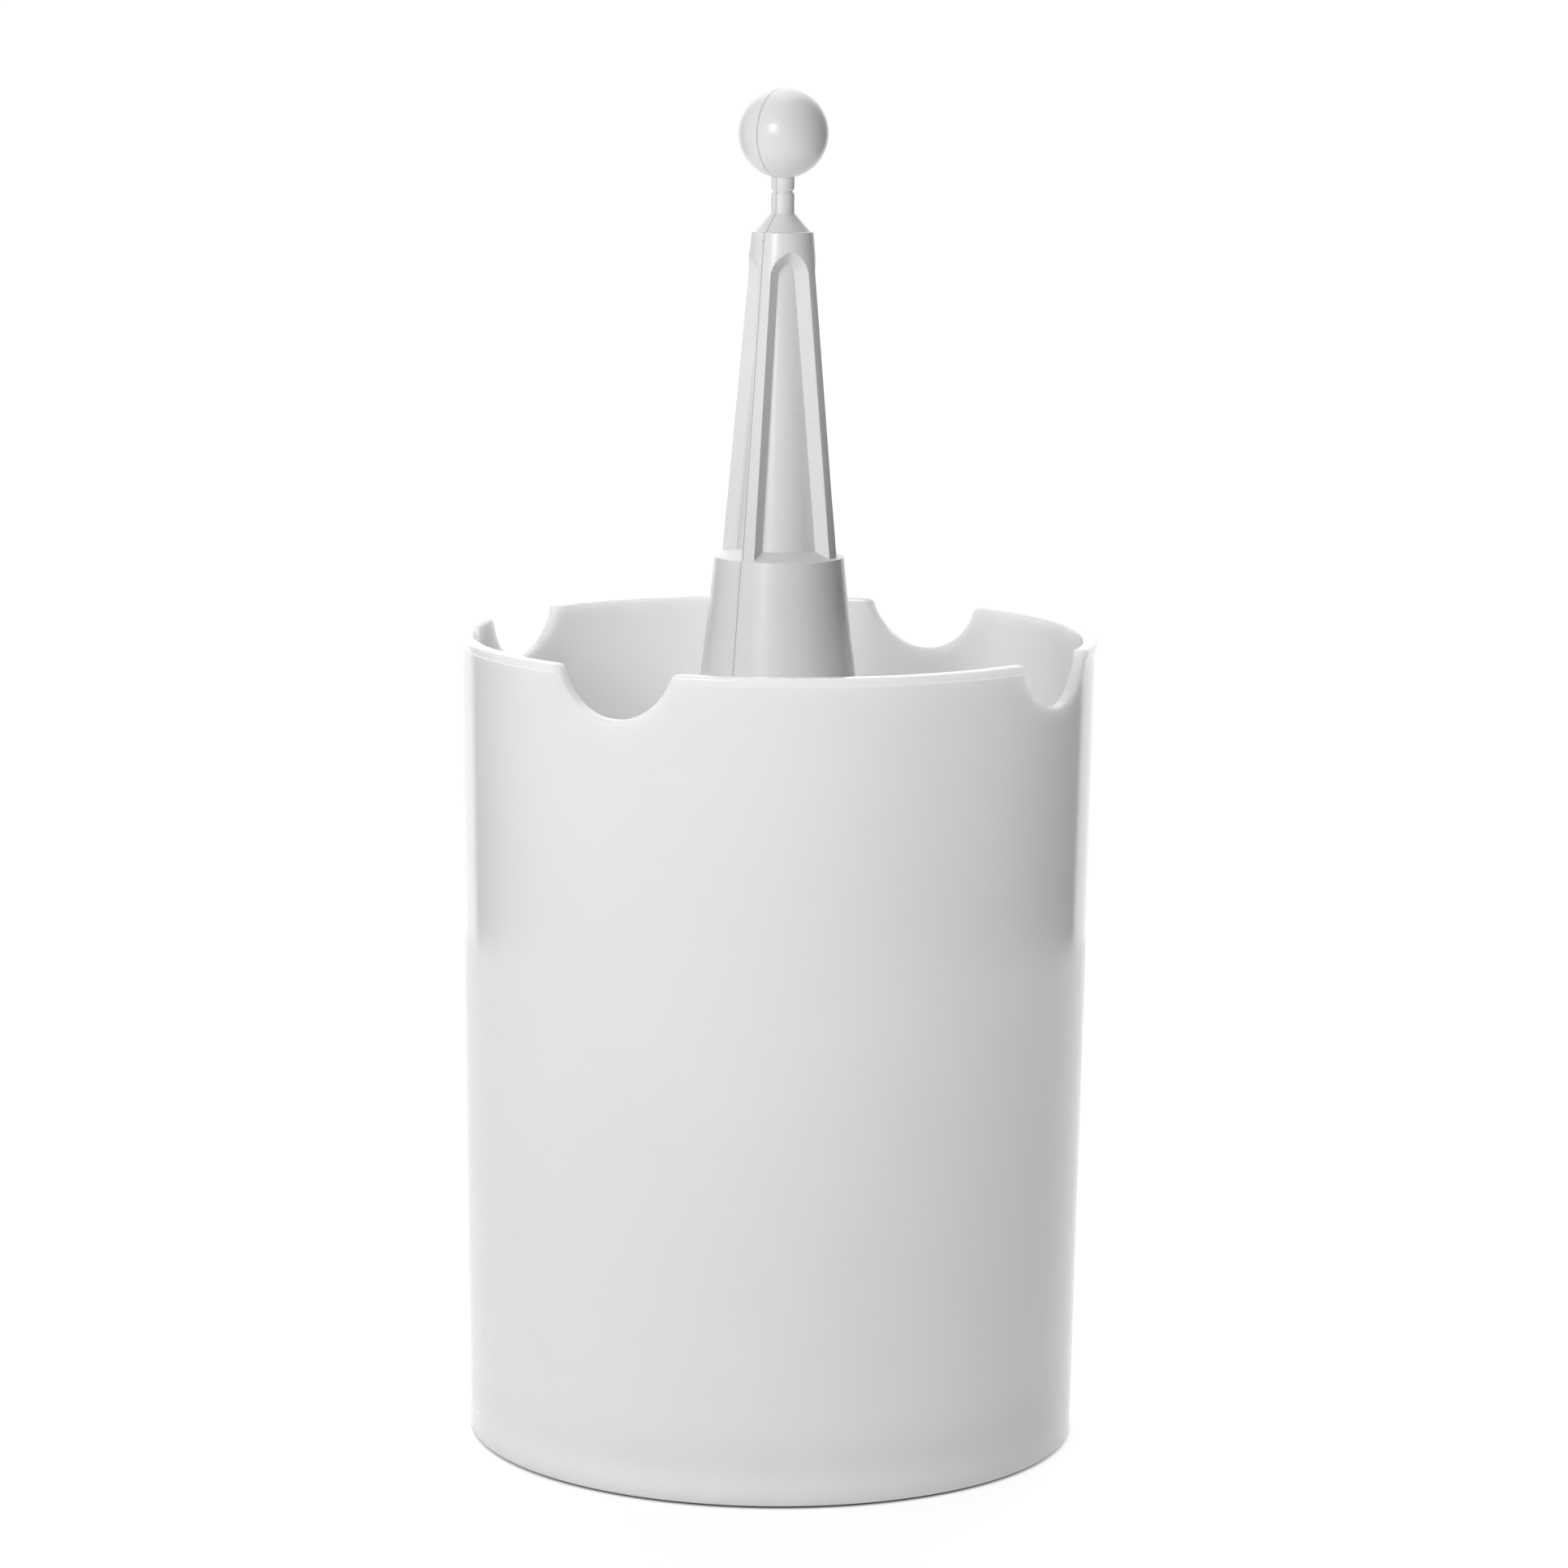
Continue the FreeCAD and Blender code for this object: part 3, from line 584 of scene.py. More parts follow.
def notch_cutter(sizes):
    """Cutter for one notch, flared where it leaves the wall so that the cut's edges come out rounded."""
    inner, outer = 0.9 * MM, sizes.notch_edge
    inner_sweep, outer_sweep = math.radians(60), math.radians(62)
    flare = outer * 0.53 + 0.7 * MM
    layers = [(-sizes.wall - 6 * MM, inner), (-sizes.wall - 0.5 * MM, inner)]
    for share in shares(4):
        angle = inner_sweep * (1 - share)
        layers.append((inner * (math.sin(inner_sweep) - math.sin(angle)) - sizes.wall,
                       inner * (1 - math.cos(angle))))
    for share in shares(6):
        angle = outer_sweep * share
        layers.append((outer * (math.sin(angle) - math.sin(outer_sweep)), outer * (1 - math.cos(angle))))
    layers += [(1.0 * MM, flare), (6 * MM, flare)]
    rings = []
    for offset, grow in layers:
        ring = []
        for along, z in notch_outline(sizes, grow):
            radius = wall_radius(sizes, z) + offset
            ring.append(Vector((math.sqrt(radius ** 2 - along ** 2), along, z)))
        rings.append(ring)
    return stacked("notch_cutter", rings, True)


def pot_shell(sizes):
    """The whole pot without its notches and recesses, as one turned piece."""
    def outer(z):
        return wall_radius(sizes, z)

    def inner(z):
        return outer(z) - sizes.wall

    bead = RIM_TOP - sizes.bead_height
    belt, middle, low = RIM_TOP - 20 * MM, 100 * MM, 4 * MM
    underside = POT_BOTTOM + sizes.underside_rise
    inside = underside + sizes.floor
    ring, flat = sizes.base_radius - sizes.foot_ring, 30 * MM
    return spun("pot_moulding", [
        (0.0, underside), (flat, underside), (ring - sizes.underside_rise, underside, 0.8 * MM),
        (ring, POT_BOTTOM, 0.6 * MM), (sizes.base_radius, POT_BOTTOM, 0.7 * MM),
        (outer(low), low), (outer(middle), middle), (outer(belt), belt), (outer(bead), bead, 0.12 * MM),
        (sizes.rim_radius, bead + sizes.bead_proud, 0.25 * MM), (sizes.rim_radius, RIM_TOP, sizes.lip),
        (inner(RIM_TOP), RIM_TOP, sizes.lip), (inner(belt), belt), (inner(middle), middle),
        (inner(inside), inside, sizes.inner_corner), (flat, inside), (0.0, inside),
    ], 288, closed=False, rounding=6)


class BRUSH_OT_pot(bpy.types.Operator):
    """Pot with its beaded rim, four rounded notches, foot ring and pad recesses"""
    bl_idname = "brush_holder.pot"
    bl_label = "Model the pot"

    def execute(self, context):
        sizes = context.scene.pot_sizes
        pot = pot_shell(sizes)
        cut(pot, around(notch_cutter(sizes), 4))
        recess = cylinder("pad_recess", 64, sizes.pad_radius + 0.1 * MM, 6 * MM, (sizes.pad_circle, 0, 0))
        cut(pot, around(recess, 4, DIAGONAL))
        smoothed(pot)
        finish = gloss_plastic("glossy_pot_plastic", context.scene.finishes.pot, scuffs_below=0.075, glow=1.0,
                               sheen=0.085)
        done(pot, "pot", finish, "pot")
        return {"FINISHED"}


class BRUSH_OT_foot_pads(bpy.types.Operator):
    """Four rubber pads with grip grooves in the pot's underside"""
    bl_idname = "brush_holder.foot_pads"
    bl_label = "Model the foot pads"

    def execute(self, context):
        sizes = context.scene.pot_sizes
        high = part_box("foot_pad_1")[1].z
        edge, chamfer, deep = sizes.pad_radius, 0.6 * MM, 0.4 * MM
        outline = [(0.0, 0.0)]
        for groove in (1.2 * MM, 3.2 * MM):
            outline += [(groove, 0.0, 0.1 * MM), (groove + 0.3 * MM, deep), (groove + 0.7 * MM, deep),
                        (groove + 1.0 * MM, 0.0, 0.1 * MM)]
        outline += [(5.5 * MM, 0.0, 0.15 * MM), (edge - chamfer, 0.0, 0.25 * MM), (edge, chamfer, 0.3 * MM),
                    (edge, high, 0.2 * MM), (0.0, high)]
        pad = spun("foot_pad_rubber_1", outline, 64, closed=False)
        finish = rubber("grey_pad_rubber", context.scene.finishes.pad, 0.0006)
        pads = [pad] + [copied(pad, "foot_pad_rubber_%d" % number) for number in (2, 3, 4)]
        for number, one in enumerate(pads, 1):
            edit(one)
            bpy.ops.transform.translate(value=(sizes.pad_circle, 0, 0))
            leave()
            turned(one, DIAGONAL + math.radians(90) * (number - 1))
            smoothed(one)
            done(one, "pot", finish, "foot_pad_%d" % number)
        return {"FINISHED"}


# ---------------------------------------------------------------- drip tray
def bar(name, low, high, rounding):
    """A bar between two corners with rounded long edges."""
    low, high = Vector(low), Vector(high)
    deselect()
    bpy.ops.mesh.primitive_cube_add(size=1.0, location=(low + high) / 2, scale=high - low)
    piece = named(name)
    bpy.ops.object.transform_apply(location=True, scale=True)
    edit(piece)
    bpy.ops.mesh.bevel(offset=rounding, segments=3, affect="EDGES")
    leave()
    return piece


class BRUSH_OT_tray(bpy.types.Operator):
    """Lift-out drip tray with its collar, drain slots, rest ribs and braces"""
    bl_idname = "brush_holder.tray"
    bl_label = "Model the drip tray"

    def execute(self, context):
        sizes = context.scene.tray_sizes
        low = TRAY_BOTTOM
        floor = low + sizes.wall
        lip = low + sizes.height
        collar = floor + sizes.seat_height
        inner, outer = sizes.seat_radius, sizes.seat_radius + sizes.wall
        slope = sizes.wall * (sizes.lip_radius - sizes.foot_radius) / sizes.height
        tray = spun("drip_tray_moulding", [
            (0.0, low), (sizes.foot_radius, low, 1.2 * MM), (sizes.lip_radius, lip, 0.7 * MM),
            (sizes.lip_radius - sizes.wall, lip, 0.7 * MM),
            (sizes.foot_radius - sizes.wall + slope, floor, 1.6 * MM),
            (outer, floor, 0.8 * MM), (outer, collar, 0.7 * MM), (inner, collar, 0.9 * MM),
            (inner, floor, 0.6 * MM), (10 * MM, floor), (0.0, floor)], 180, closed=False)
        half = sizes.drain_width / 2
        slot = bar("slot", (inner - 5 * MM, -half, floor + 0.05 * MM),
                   (outer + 4 * MM, half, floor + sizes.drain_height), 1.4 * MM)
        cut(tray, around(slot, sizes.drains, math.pi / sizes.drains))
        sunk = 1.0 * MM
        for name, start, end, half, top in (
                ("rest_rib", 3.5 * MM, inner + sunk, 1.0 * MM, 1.2 * MM),
                ("brace", outer - sunk, sizes.foot_radius, 0.9 * MM, 8 * MM)):
            rib = bar(name, (start, -half, floor - sunk), (end, half, floor + top), 0.35 * MM)
            cut(tray, around(rib, 4, DIAGONAL), "UNION")
        smoothed(tray)
        finish = satin_plastic("satin_tray_plastic", context.scene.finishes.tray, grain=0.0007, depth=0.00003,
                               rough=0.38)
        done(tray, "tray", finish, "drip_tray")
        return {"FINISHED"}


# ---------------------------------------------------------------- brush head
THREAD_CREST, THREAD_FLANK = 1.9, 6.0  # the ridge's uncut height and slope over one pitch
RUN_IN, RUN_OUT, RING_STEP = 1.2 * MM, 1.6 * MM, 0.22 * MM
END_CIRCLE = 6.5 * MM  # radius the tufts under the core stand on
END_PLACES = [Vector(CENTRE)] + [polar(END_CIRCLE, math.radians(60 * at)) for at in range(6)]


def ring_at(radius, z, count):
    return [polar(radius, math.tau * at / count, z) for at in range(count)]


def thread_ring(sizes, z, low, high, count):
    """One ring of the stud's right-hand thread; the ridge runs out at both ends."""
    fade = clamped((z - low) / RUN_IN) * clamped((high - z) / RUN_OUT)
    ring = []
    for at in range(count):
        phase = (z / sizes.thread_pitch - at / count) % 1.0
        ridge = clamped(THREAD_CREST - abs(phase - 0.5) * THREAD_FLANK)
        radius = sizes.stud_radius - sizes.thread_depth * (1 - ridge * fade)
        ring.append(polar(radius, math.tau * at / count, z))
    return ring


def tuft_places(sizes):
    """Height and angles of each row's tufts; every second row is turned by half a step."""
    step = math.tau / sizes.tufts
    places = []
    for row in range(ROWS):
        height = CORE_BOTTOM + sizes.first_row + row * sizes.row_pitch
        places.append((height, [step * (tuft + 0.5 * (row % 2)) for tuft in range(sizes.tufts)]))
    return places


class BRUSH_OT_core(bpy.types.Operator):
    """Brush core with its tuft holes, shoulder and threaded stud"""
    bl_idname = "brush_holder.core"
    bl_label = "Model the brush core"

    def execute(self, context):
        sizes = context.scene.head_sizes
        count, pole = 96, 1.0 * MM
        radius, edge = sizes.core_radius, sizes.core_edge
        shoulder = SEAL_BOTTOM - 4 * MM
        root = sizes.stud_radius - sizes.thread_depth
        outline = rounded([
            (pole, CORE_BOTTOM), (radius - edge, CORE_BOTTOM, 0.4 * MM),
            (radius, CORE_BOTTOM + edge, 0.4 * MM), (radius, shoulder - edge, 1.0 * MM),
            (radius + edge, shoulder, 0.4 * MM),
            (SHOULDER_RADIUS, shoulder, 0.6 * MM), (SHOULDER_RADIUS, SEAL_BOTTOM, 0.6 * MM),
            (root + 0.3 * MM, SEAL_BOTTOM), (root, SEAL_BOTTOM + 0.3 * MM)], 4)
        end = rounded([(root, STUD_TOP - 1.6 * MM), (root, STUD_TOP, 1.2 * MM), (pole, STUD_TOP)], 5)
        low, high = SEAL_BOTTOM + 0.5 * MM, STUD_TOP - 1.8 * MM
        steps = round((high - low) / RING_STEP)
        rings = [ring_at(r, z, count) for r, z in outline]
        rings += [thread_ring(sizes, low + (high - low) * share, low, high, count) for share in shares(steps)]
        rings += [ring_at(r, z, count) for r, z in end]
        core = stacked("brush_core_moulding", rings)
        hole = sizes.tuft_radius + 0.05 * MM
        hole_start = (sizes.tuft_radius + 0.25 * MM) / math.sin(math.pi / sizes.tufts)
        depth = radius - hole_start + 4 * MM
        lying = (0, math.radians(90), 0)
        cutters = [
            turned(cylinder("tuft_hole", 20, hole, depth, (hole_start + depth / 2, 0, height), lying), angle)
            for height, angles in tuft_places(sizes) for angle in angles]
        cutters += [cylinder("tuft_hole", 20, hole, 9 * MM, place + UP * CORE_BOTTOM) for place in END_PLACES]
        cut(core, joined(cutters))
        smoothed(core)
        finish = satin_plastic("satin_core_plastic", context.scene.finishes.core, grain=0.0005, depth=0.00002,
                               rough=0.33)
        done(core, "brush_head", finish, "brush_core")
        return {"FINISHED"}


def filaments(name, routes, radius):
    """Bristles as fine curves with a round section, made into one mesh."""
    line = bpy.data.curves.new(name, "CURVE")
    line.dimensions = "3D"
    line.bevel_depth = radius
    line.bevel_resolution = 0
    line.use_fill_caps = True
    for points in routes:
        spline = line.splines.new("POLY")
        spline.points.add(len(points) - 1)
        for at, (where, thick) in enumerate(points):
            spline.points[at].co = (*where, 1.0)
            spline.points[at].radius = thick
    piece = bpy.data.objects.new(name, line)
    bpy.context.scene.collection.objects.link(piece)
    pick(piece)
    bpy.ops.object.convert(target="MESH")
    piece = named(name)
    edit(piece)
    bpy.ops.mesh.normals_make_consistent(inside=False)
    leave()
    pick(piece)
    bpy.ops.object.shade_smooth()
    return piece


def bent(start, mouth, tip, sway):
    """A filament from its hole, past the hole's mouth, out to its thinner tip with a little sway."""
    points = []
    for along in shares(4):
        where = start * (1 - along) ** 2 + mouth * (2 * along * (1 - along)) + tip * along ** 2
        where = where + sway * math.sin(math.pi * along * 1.6) * along
        points.append((where, 1.0 if along < 1 else 0.72))
    return points


def in_hole(count, radius):
    """Evenly spread places for the filaments of a tuft across its round hole."""
    return [polar(radius * math.sqrt((at + 0.5) / count), at * GOLDEN_ANGLE) for at in range(count)]


ROOT_DEPTH = 7.6 * MM  # a filament of a row starts this far from the axis
FAN_WIDE, FAN_HIGH = 12.0 * MM, 4.3 * MM  # half the spread of a tuft's tips
TRIM = 0.9 * MM  # unevenness of the cut tips
END_REACH, END_SPREAD = 9.0 * MM, 17.0 * MM  # nearest tips of an end tuft, and how far on the others go


class BRUSH_OT_bristles(bpy.types.Operator):
    """Seven rows of bristle tufts and the tufts under the core, filament by filament"""
    bl_idname = "brush_holder.bristles"
    bl_label = "Model the bristles"

    def execute(self, context):
        sizes = context.scene.head_sizes
        finish = bristle_nylon("white_bristle_nylon", context.scene.finishes.bristle)
        chance = random.Random(41)
        hold = sizes.tuft_radius - sizes.filament
        places = in_hole(sizes.filaments, hold)
        reach = BRISTLE_RADIUS - sizes.filament
        for row, (height, angles) in enumerate(tuft_places(sizes), 1):
            routes = []
            for angle in angles:
                turn = Matrix.Rotation(angle, 3, "Z")
                for y, z, _ in places:
                    side = FAN_WIDE * (y / hold) * chance.uniform(0.75, 1.08)
                    rise = FAN_HIGH * (z / hold) * chance.uniform(0.75, 0.96)
                    trim = reach - chance.uniform(0.0, 1.0) * TRIM
                    start = Vector((ROOT_DEPTH, y, z))
                    mouth = Vector((sizes.core_radius + 6.5 * MM, y * 1.5, z * 1.15))
                    tip = Vector((math.sqrt(trim ** 2 - side ** 2), side, rise))
                    sway = Vector((0.0, chance.uniform(-0.5, 0.5), chance.uniform(-0.32, 0.32))) * MM
                    routes.append([(turn @ where + UP * height, thick)
                                   for where, thick in bent(start, mouth, tip, sway)])
            piece = filaments("bristle_tufts_row_%d" % row, routes, sizes.filament)
            done(piece, "brush_head", finish, "bristle_row_%d" % row)
        routes = []
        lowest = BRISTLE_BOTTOM + 0.3 * MM
        for place in END_PLACES:
            out = place.normalized()
            side = Vector((-out.y, out.x, 0.0))
            for offset in places:
                start = place + offset + UP * (CORE_BOTTOM + 1.8 * MM)
                mouth = place + offset * 1.3 + UP * (CORE_BOTTOM - 2.5 * MM)
                if place.length:
                    share = (offset.dot(out) / hold + 1) / 2
                    away = END_REACH + END_SPREAD * share * chance.uniform(0.85, 1.1)
                    swing = offset.dot(side) / hold * away * 0.52
                    lift = sizes.filament + 7.0 * MM * share ** 3 * chance.uniform(0.6, 1.0)
                    tip = out * away + side * swing + UP * (lowest + lift)
                else:
                    tip = offset * 3.2 + UP * (lowest + chance.uniform(0, 0.6) * MM)
                sway = Vector((chance.uniform(-0.4, 0.4), chance.uniform(-0.4, 0.4), 0.0)) * MM
                routes.append(bent(start, mouth, tip, sway))
        piece = filaments("bristle_tufts_end", routes, sizes.filament)
        done(piece, "brush_head", finish, "bristle_end")
        return {"FINISHED"}


class BRUSH_OT_seal(bpy.types.Operator):
    """Rubber washer between the brush head and the handle"""
    bl_idname = "brush_holder.seal"
    bl_label = "Model the seal washer"

    def execute(self, context):
        inner = context.scene.head_sizes.stud_radius + 0.6 * MM
        low, groove = SEAL_BOTTOM, SEAL_BOTTOM + 0.25 * MM
        under = [(inner, low, 0.3 * MM), (11.2 * MM, low, 0.1 * MM), (11.5 * MM, groove), (12.5 * MM, groove),
                 (12.8 * MM, low, 0.1 * MM), (SEAL_RADIUS, low, 0.35 * MM)]
        over = [(radius, low + HANDLE_FACE - z, *rounding) for radius, z, *rounding in reversed(under)]
        washer = spun("seal_washer_rubber", under + over, 96)
        smoothed(washer)
        finish = rubber("black_seal_rubber", context.scene.finishes.seal, 0.0005)
        done(washer, "seal", finish, "seal_washer")
        return {"FINISHED"}


# ---------------------------------------------------------------- handle
class Spire:
    """Heights and radii of the handle, worked out from its sizes."""

    def __init__(self, sizes):
        self.sizes = sizes
        self.skirt_top = SKIRT_BOTTOM + sizes.skirt_height
        self.bottom = self.skirt_top + sizes.ledge
        self.top = self.bottom + sizes.spire_height
        self.neck = self.top + sizes.cone_height
        self.ball = self.neck + sizes.neck_length

    def radius(self, z):
        slope = (self.sizes.spire_top - self.sizes.spire_base) / self.sizes.spire_height
        return self.sizes.spire_base + slope * (z - self.bottom)

    def skirt(self, z):
        slope = (self.sizes.skirt_top - SKIRT_RADIUS) / self.sizes.skirt_height
        return SKIRT_RADIUS + slope * (z - SKIRT_BOTTOM)


def handle_shell(sizes):
    """Outside and inside of the whole handle as one turned piece, and the hollows of its ball and foot."""
    place = Spire(sizes)
    wall, neck, deep, ball = sizes.skirt_wall, sizes.neck_radius, sizes.neck_groove, sizes.ball_radius
    middle = place.ball + math.sqrt(ball ** 2 - neck ** 2)
    low_angle = math.asin((place.ball - middle) / ball)
    corners = [(0.0, middle + ball)]
    for share in shares(32)[1:]:
        angle = math.pi / 2 + (low_angle - math.pi / 2) * share
        corners.append((ball * math.cos(angle), middle + ball * math.sin(angle)))
    groove, skirt_middle = place.neck + 5.2 * MM, 160 * MM
    plain_spire, plain_skirt = place.top - 4 * MM, place.skirt_top - 5 * MM
    corners += [
        (neck, groove + deep * 1.2, 0.15 * MM), (neck - deep, groove, 0.2 * MM),
        (neck, groove - deep * 1.2, 0.15 * MM), (neck, place.neck, 0.5 * MM),
        (sizes.cone_radius, place.top, 0.12 * MM), (sizes.spire_top, place.top, 0.4 * MM),
        (place.radius(plain_spire), plain_spire), (place.radius(place.bottom), place.bottom, 0.1 * MM),
        (sizes.skirt_top, place.skirt_top, 0.18 * MM), (place.skirt(plain_skirt), plain_skirt),
        (place.skirt(skirt_middle), skirt_middle), (SKIRT_RADIUS, SKIRT_BOTTOM, 0.9 * MM),
        (SKIRT_RADIUS - wall, SKIRT_BOTTOM, 0.7 * MM),
        (place.skirt(HANDLE_FACE) - wall, HANDLE_FACE, 0.8 * MM),
    ]
    bore, flange = 12.15 * MM, 17.55 * MM
    floor = HANDLE_FACE + 3.5 * MM
    ceiling = floor + 4.5 * MM
    low = ceiling + wall
    corners += [(bore, HANDLE_FACE, 0.3 * MM), (bore, floor), (flange, floor), (flange, ceiling),
                (bore, ceiling), (bore, low)]
    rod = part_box("spine_rod")[1].x + 0.05 * MM
    for web in (HANDLE_FACE + 46 * MM, HANDLE_FACE + 82 * MM, place.skirt_top - 6 * MM):
        corners += [(place.skirt(low) - wall, low), (place.skirt(web) - wall, web), (rod, web)]
        low = web + wall
        corners.append((rod, low))
    tip, step, end = 1.3 * MM, place.top - 1.95 * MM, middle + 0.05 * MM
    corners[-1:] = [(rod, step), (tip, step), (tip, end), (0.0, end)]
    handle = spun("handle_moulding", corners, 192, closed=False)
    hollow = ball - wall
    side = math.acos((tip + wall) / hollow)
    shell = [(hollow * math.cos(side - 2 * side * share), middle + hollow * math.sin(side - 2 * side * share))
             for share in shares(16)]
    inner, outer = flange + wall, place.skirt(ceiling) - wall
    ring = [(inner, floor), (outer, floor), (outer, ceiling), (inner, ceiling)]
    return handle, spun("ball_hollow", shell, 64, inward=True), spun("flange_hollow", ring, 96, inward=True)


def panel_cutter(sizes):
    """Cutter for one arched panel facing +X, flared where it leaves the spire to round the panel's edges."""
    place = Spire(sizes)
    draft = math.tan(math.radians(42))
    half = math.sqrt(0.5)
    depth = sizes.panel_depth

    def side(z, away):
        rib = math.sqrt(place.radius(z) ** 2 - sizes.rib_half ** 2)
        return half * (rib - sizes.rib_half) - draft * (half * (rib + sizes.rib_half) - away)

    def outline(deep, down, rise, bulge, flat):
        """Half outline from the foot up to the point, in a plane this deep behind the spire."""
        top = place.top - down
        spring = top - rise
        foot = place.bottom - 5 * MM
        width = side(spring, place.radius(spring) - deep)
        chord = math.hypot(width - flat, rise)
        foot_width = side(foot, place.radius(foot) - deep)
        points = [Vector((foot_width + (width - foot_width) * share, foot + (spring - foot) * share))
                  for share in shares(24)]
        start, end = Vector((width, spring)), Vector((flat, top))
        normal = Vector((rise, width - flat)) / chord
        for share in shares(16)[1:]:
            points.append(start.lerp(end, share) + normal * bulge * 4 * share * (1 - share))
        return [Vector((place.radius(z) - deep, x, z)) for x, z in points]

    sunk = 3.2 * MM
    outer = outline(deep=0.0, down=4.7 * MM, rise=5.0 * MM, bulge=0.85 * MM, flat=0.1 * MM)
    inner = outline(deep=depth + sunk, down=6.7 * MM + sunk * draft, rise=3.3 * MM - sunk * draft,
                    bulge=0.5 * MM, flat=1.0 * MM)
    edge = sizes.edge
    skins = []
    for near, far in zip(outer, inner):
        down = (far - near).normalized()

        def outside(share):
            where = near + down * share
            return math.hypot(where.x, where.y) - place.radius(where.z)

        low, high = -2 * MM, depth
        for _ in range(40):  # halving finds where the cutter's side leaves the spire
            middle = (low + high) / 2
            low, high = (middle, high) if outside(middle) > 0 else (low, middle)
        skins.append((near + down * low, down, far))
    rings = [[] for _ in range(8)]
    for at, (skin, down, far) in enumerate(skins):
        ahead = skins[min(at + 1, len(skins) - 1)][0] - skins[max(at - 1, 0)][0]
        out = Vector((skin.x, skin.y, 0)).normalized()
        away = ahead.cross(out).normalized()
        if away.dot(down) > 0:
            away = -away
        if at == len(skins) - 1:
            away = (away + UP).normalized()
        rings[0].append(skin + away * (edge + 0.5 * MM) + out * 0.8 * MM)
        rings[1].append(skin + away * (edge + 0.15 * MM) + out * 0.1 * MM)
        for ring, share in zip(rings[2:], shares(3)):
            ring.append(skin + away * edge * (1 - share) ** 2 + down * edge * share ** 2)
        rings[6].append(skin + (far - skin) * 0.5)
        rings[7].append(far)
    rings.insert(0, [Vector((place.radius(where.z) + 1.0 * MM, where.y, where.z)) for where in rings[0]])
    whole = [ring + [Vector((where.x, -where.y, where.z)) for where in reversed(ring)] for ring in rings]
    pocket = stacked("panel_pocket", whole, True)
    sill = place.bottom + sizes.sill_rise
    beyond = sizes.spire_base + 5 * MM
    ring = spun("panel_floor", [(place.radius(sill) - depth, sill),
                                (beyond, place.bottom - sizes.sill_rise * 5 * MM / depth),
                                (beyond, place.top), (place.radius(place.top) - depth, place.top)], 192)
    return cut(pocket, ring, "INTERSECT")


class BRUSH_OT_handle(bpy.types.Operator):
    """Handle in its two moulded halves: skirt, panelled spire, neck and ball"""
    bl_idname = "brush_holder.handle"
    bl_label = "Model the handle"

    def execute(self, context):
        sizes = context.scene.handle_sizes
        handle, ball, ring = handle_shell(sizes)
        cut(handle, around(panel_cutter(sizes), 4, DIAGONAL))
        handle = joined([handle, ball, ring])
        finish = gloss_plastic("glossy_handle_plastic", context.scene.finishes.handle, scuffs_below=0.12,
                               glow=0.04, sheen=0.24, part_line=sizes.part_line)
        across = Vector((math.cos(sizes.part_line), math.sin(sizes.part_line), 0.0))
        right = copied(handle, "handle_right_half")
        handle.name = handle.data.name = "handle_left_half"
        for piece, sign, node_name in ((handle, 1, "handle_shell_left"), (right, -1, "handle_shell_right")):
            edit(piece)
            bpy.ops.mesh.bisect(plane_co=across * (-sign * sizes.part_gap / 2), plane_no=across * sign,
                                use_fill=True, clear_outer=True, clear_inner=False, threshold=SLIVER)
            leave()
            smoothed(piece)
            done(piece, "handle", finish, node_name)
        return {"FINISHED"}


class BRUSH_OT_fittings(bpy.types.Operator):
    """Finishes of the socket, rod, pin and staples, which keep their frame shapes"""
    bl_idname = "brush_holder.fittings"
    bl_label = "Finish the fittings"

    def execute(self, context):
        shades = context.scene.finishes
        steel = drawn_steel("drawn_steel", shades.steel)
        nylon = satin_plastic("natural_socket_nylon", shades.socket, grain=0.0009, depth=0.00004, rough=0.45)
        for node_name, finish in (("spine_rod", steel), ("cross_pin", steel), ("tuft_staples", steel),
                                  ("screw_socket", nylon)):
            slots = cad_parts[node_name].material_slots
            if not slots:
                raise RuntimeError(node_name + " has no material slot")
            for place in slots:
                place.material = finish
        return {"FINISHED"}


# ---------------------------------------------------------------- stage
WHITE, BLACK = tint((1.0, 1.0, 1.0)), tint((0.0, 0.0, 0.0))
FRONT = math.radians(30)  # the camera stands this far round from -Y
CAMERA_AWAY, CAMERA_HIGH, LENS, FILM = 1.2838, 0.3715, 120.8, 36.0
CAMERA_SWING, CAMERA_DIP, CAMERA_ROLL = math.radians(0.080), math.radians(9.243), math.radians(0.600)
FLOOR_RADIUS, FLOOR_EDGE = 0.66, 0.12
AIM = Vector((0.0, 0.0, 0.15))
SOFTBOXES = [  # name, degrees round from the camera and up, distance and size in metres, watts
    ("key_softbox", -27, 19, 2.2, 0.62, 23.0),
    ("top_softbox", 180, 58, 1.9, 1.8, 22.0),
]


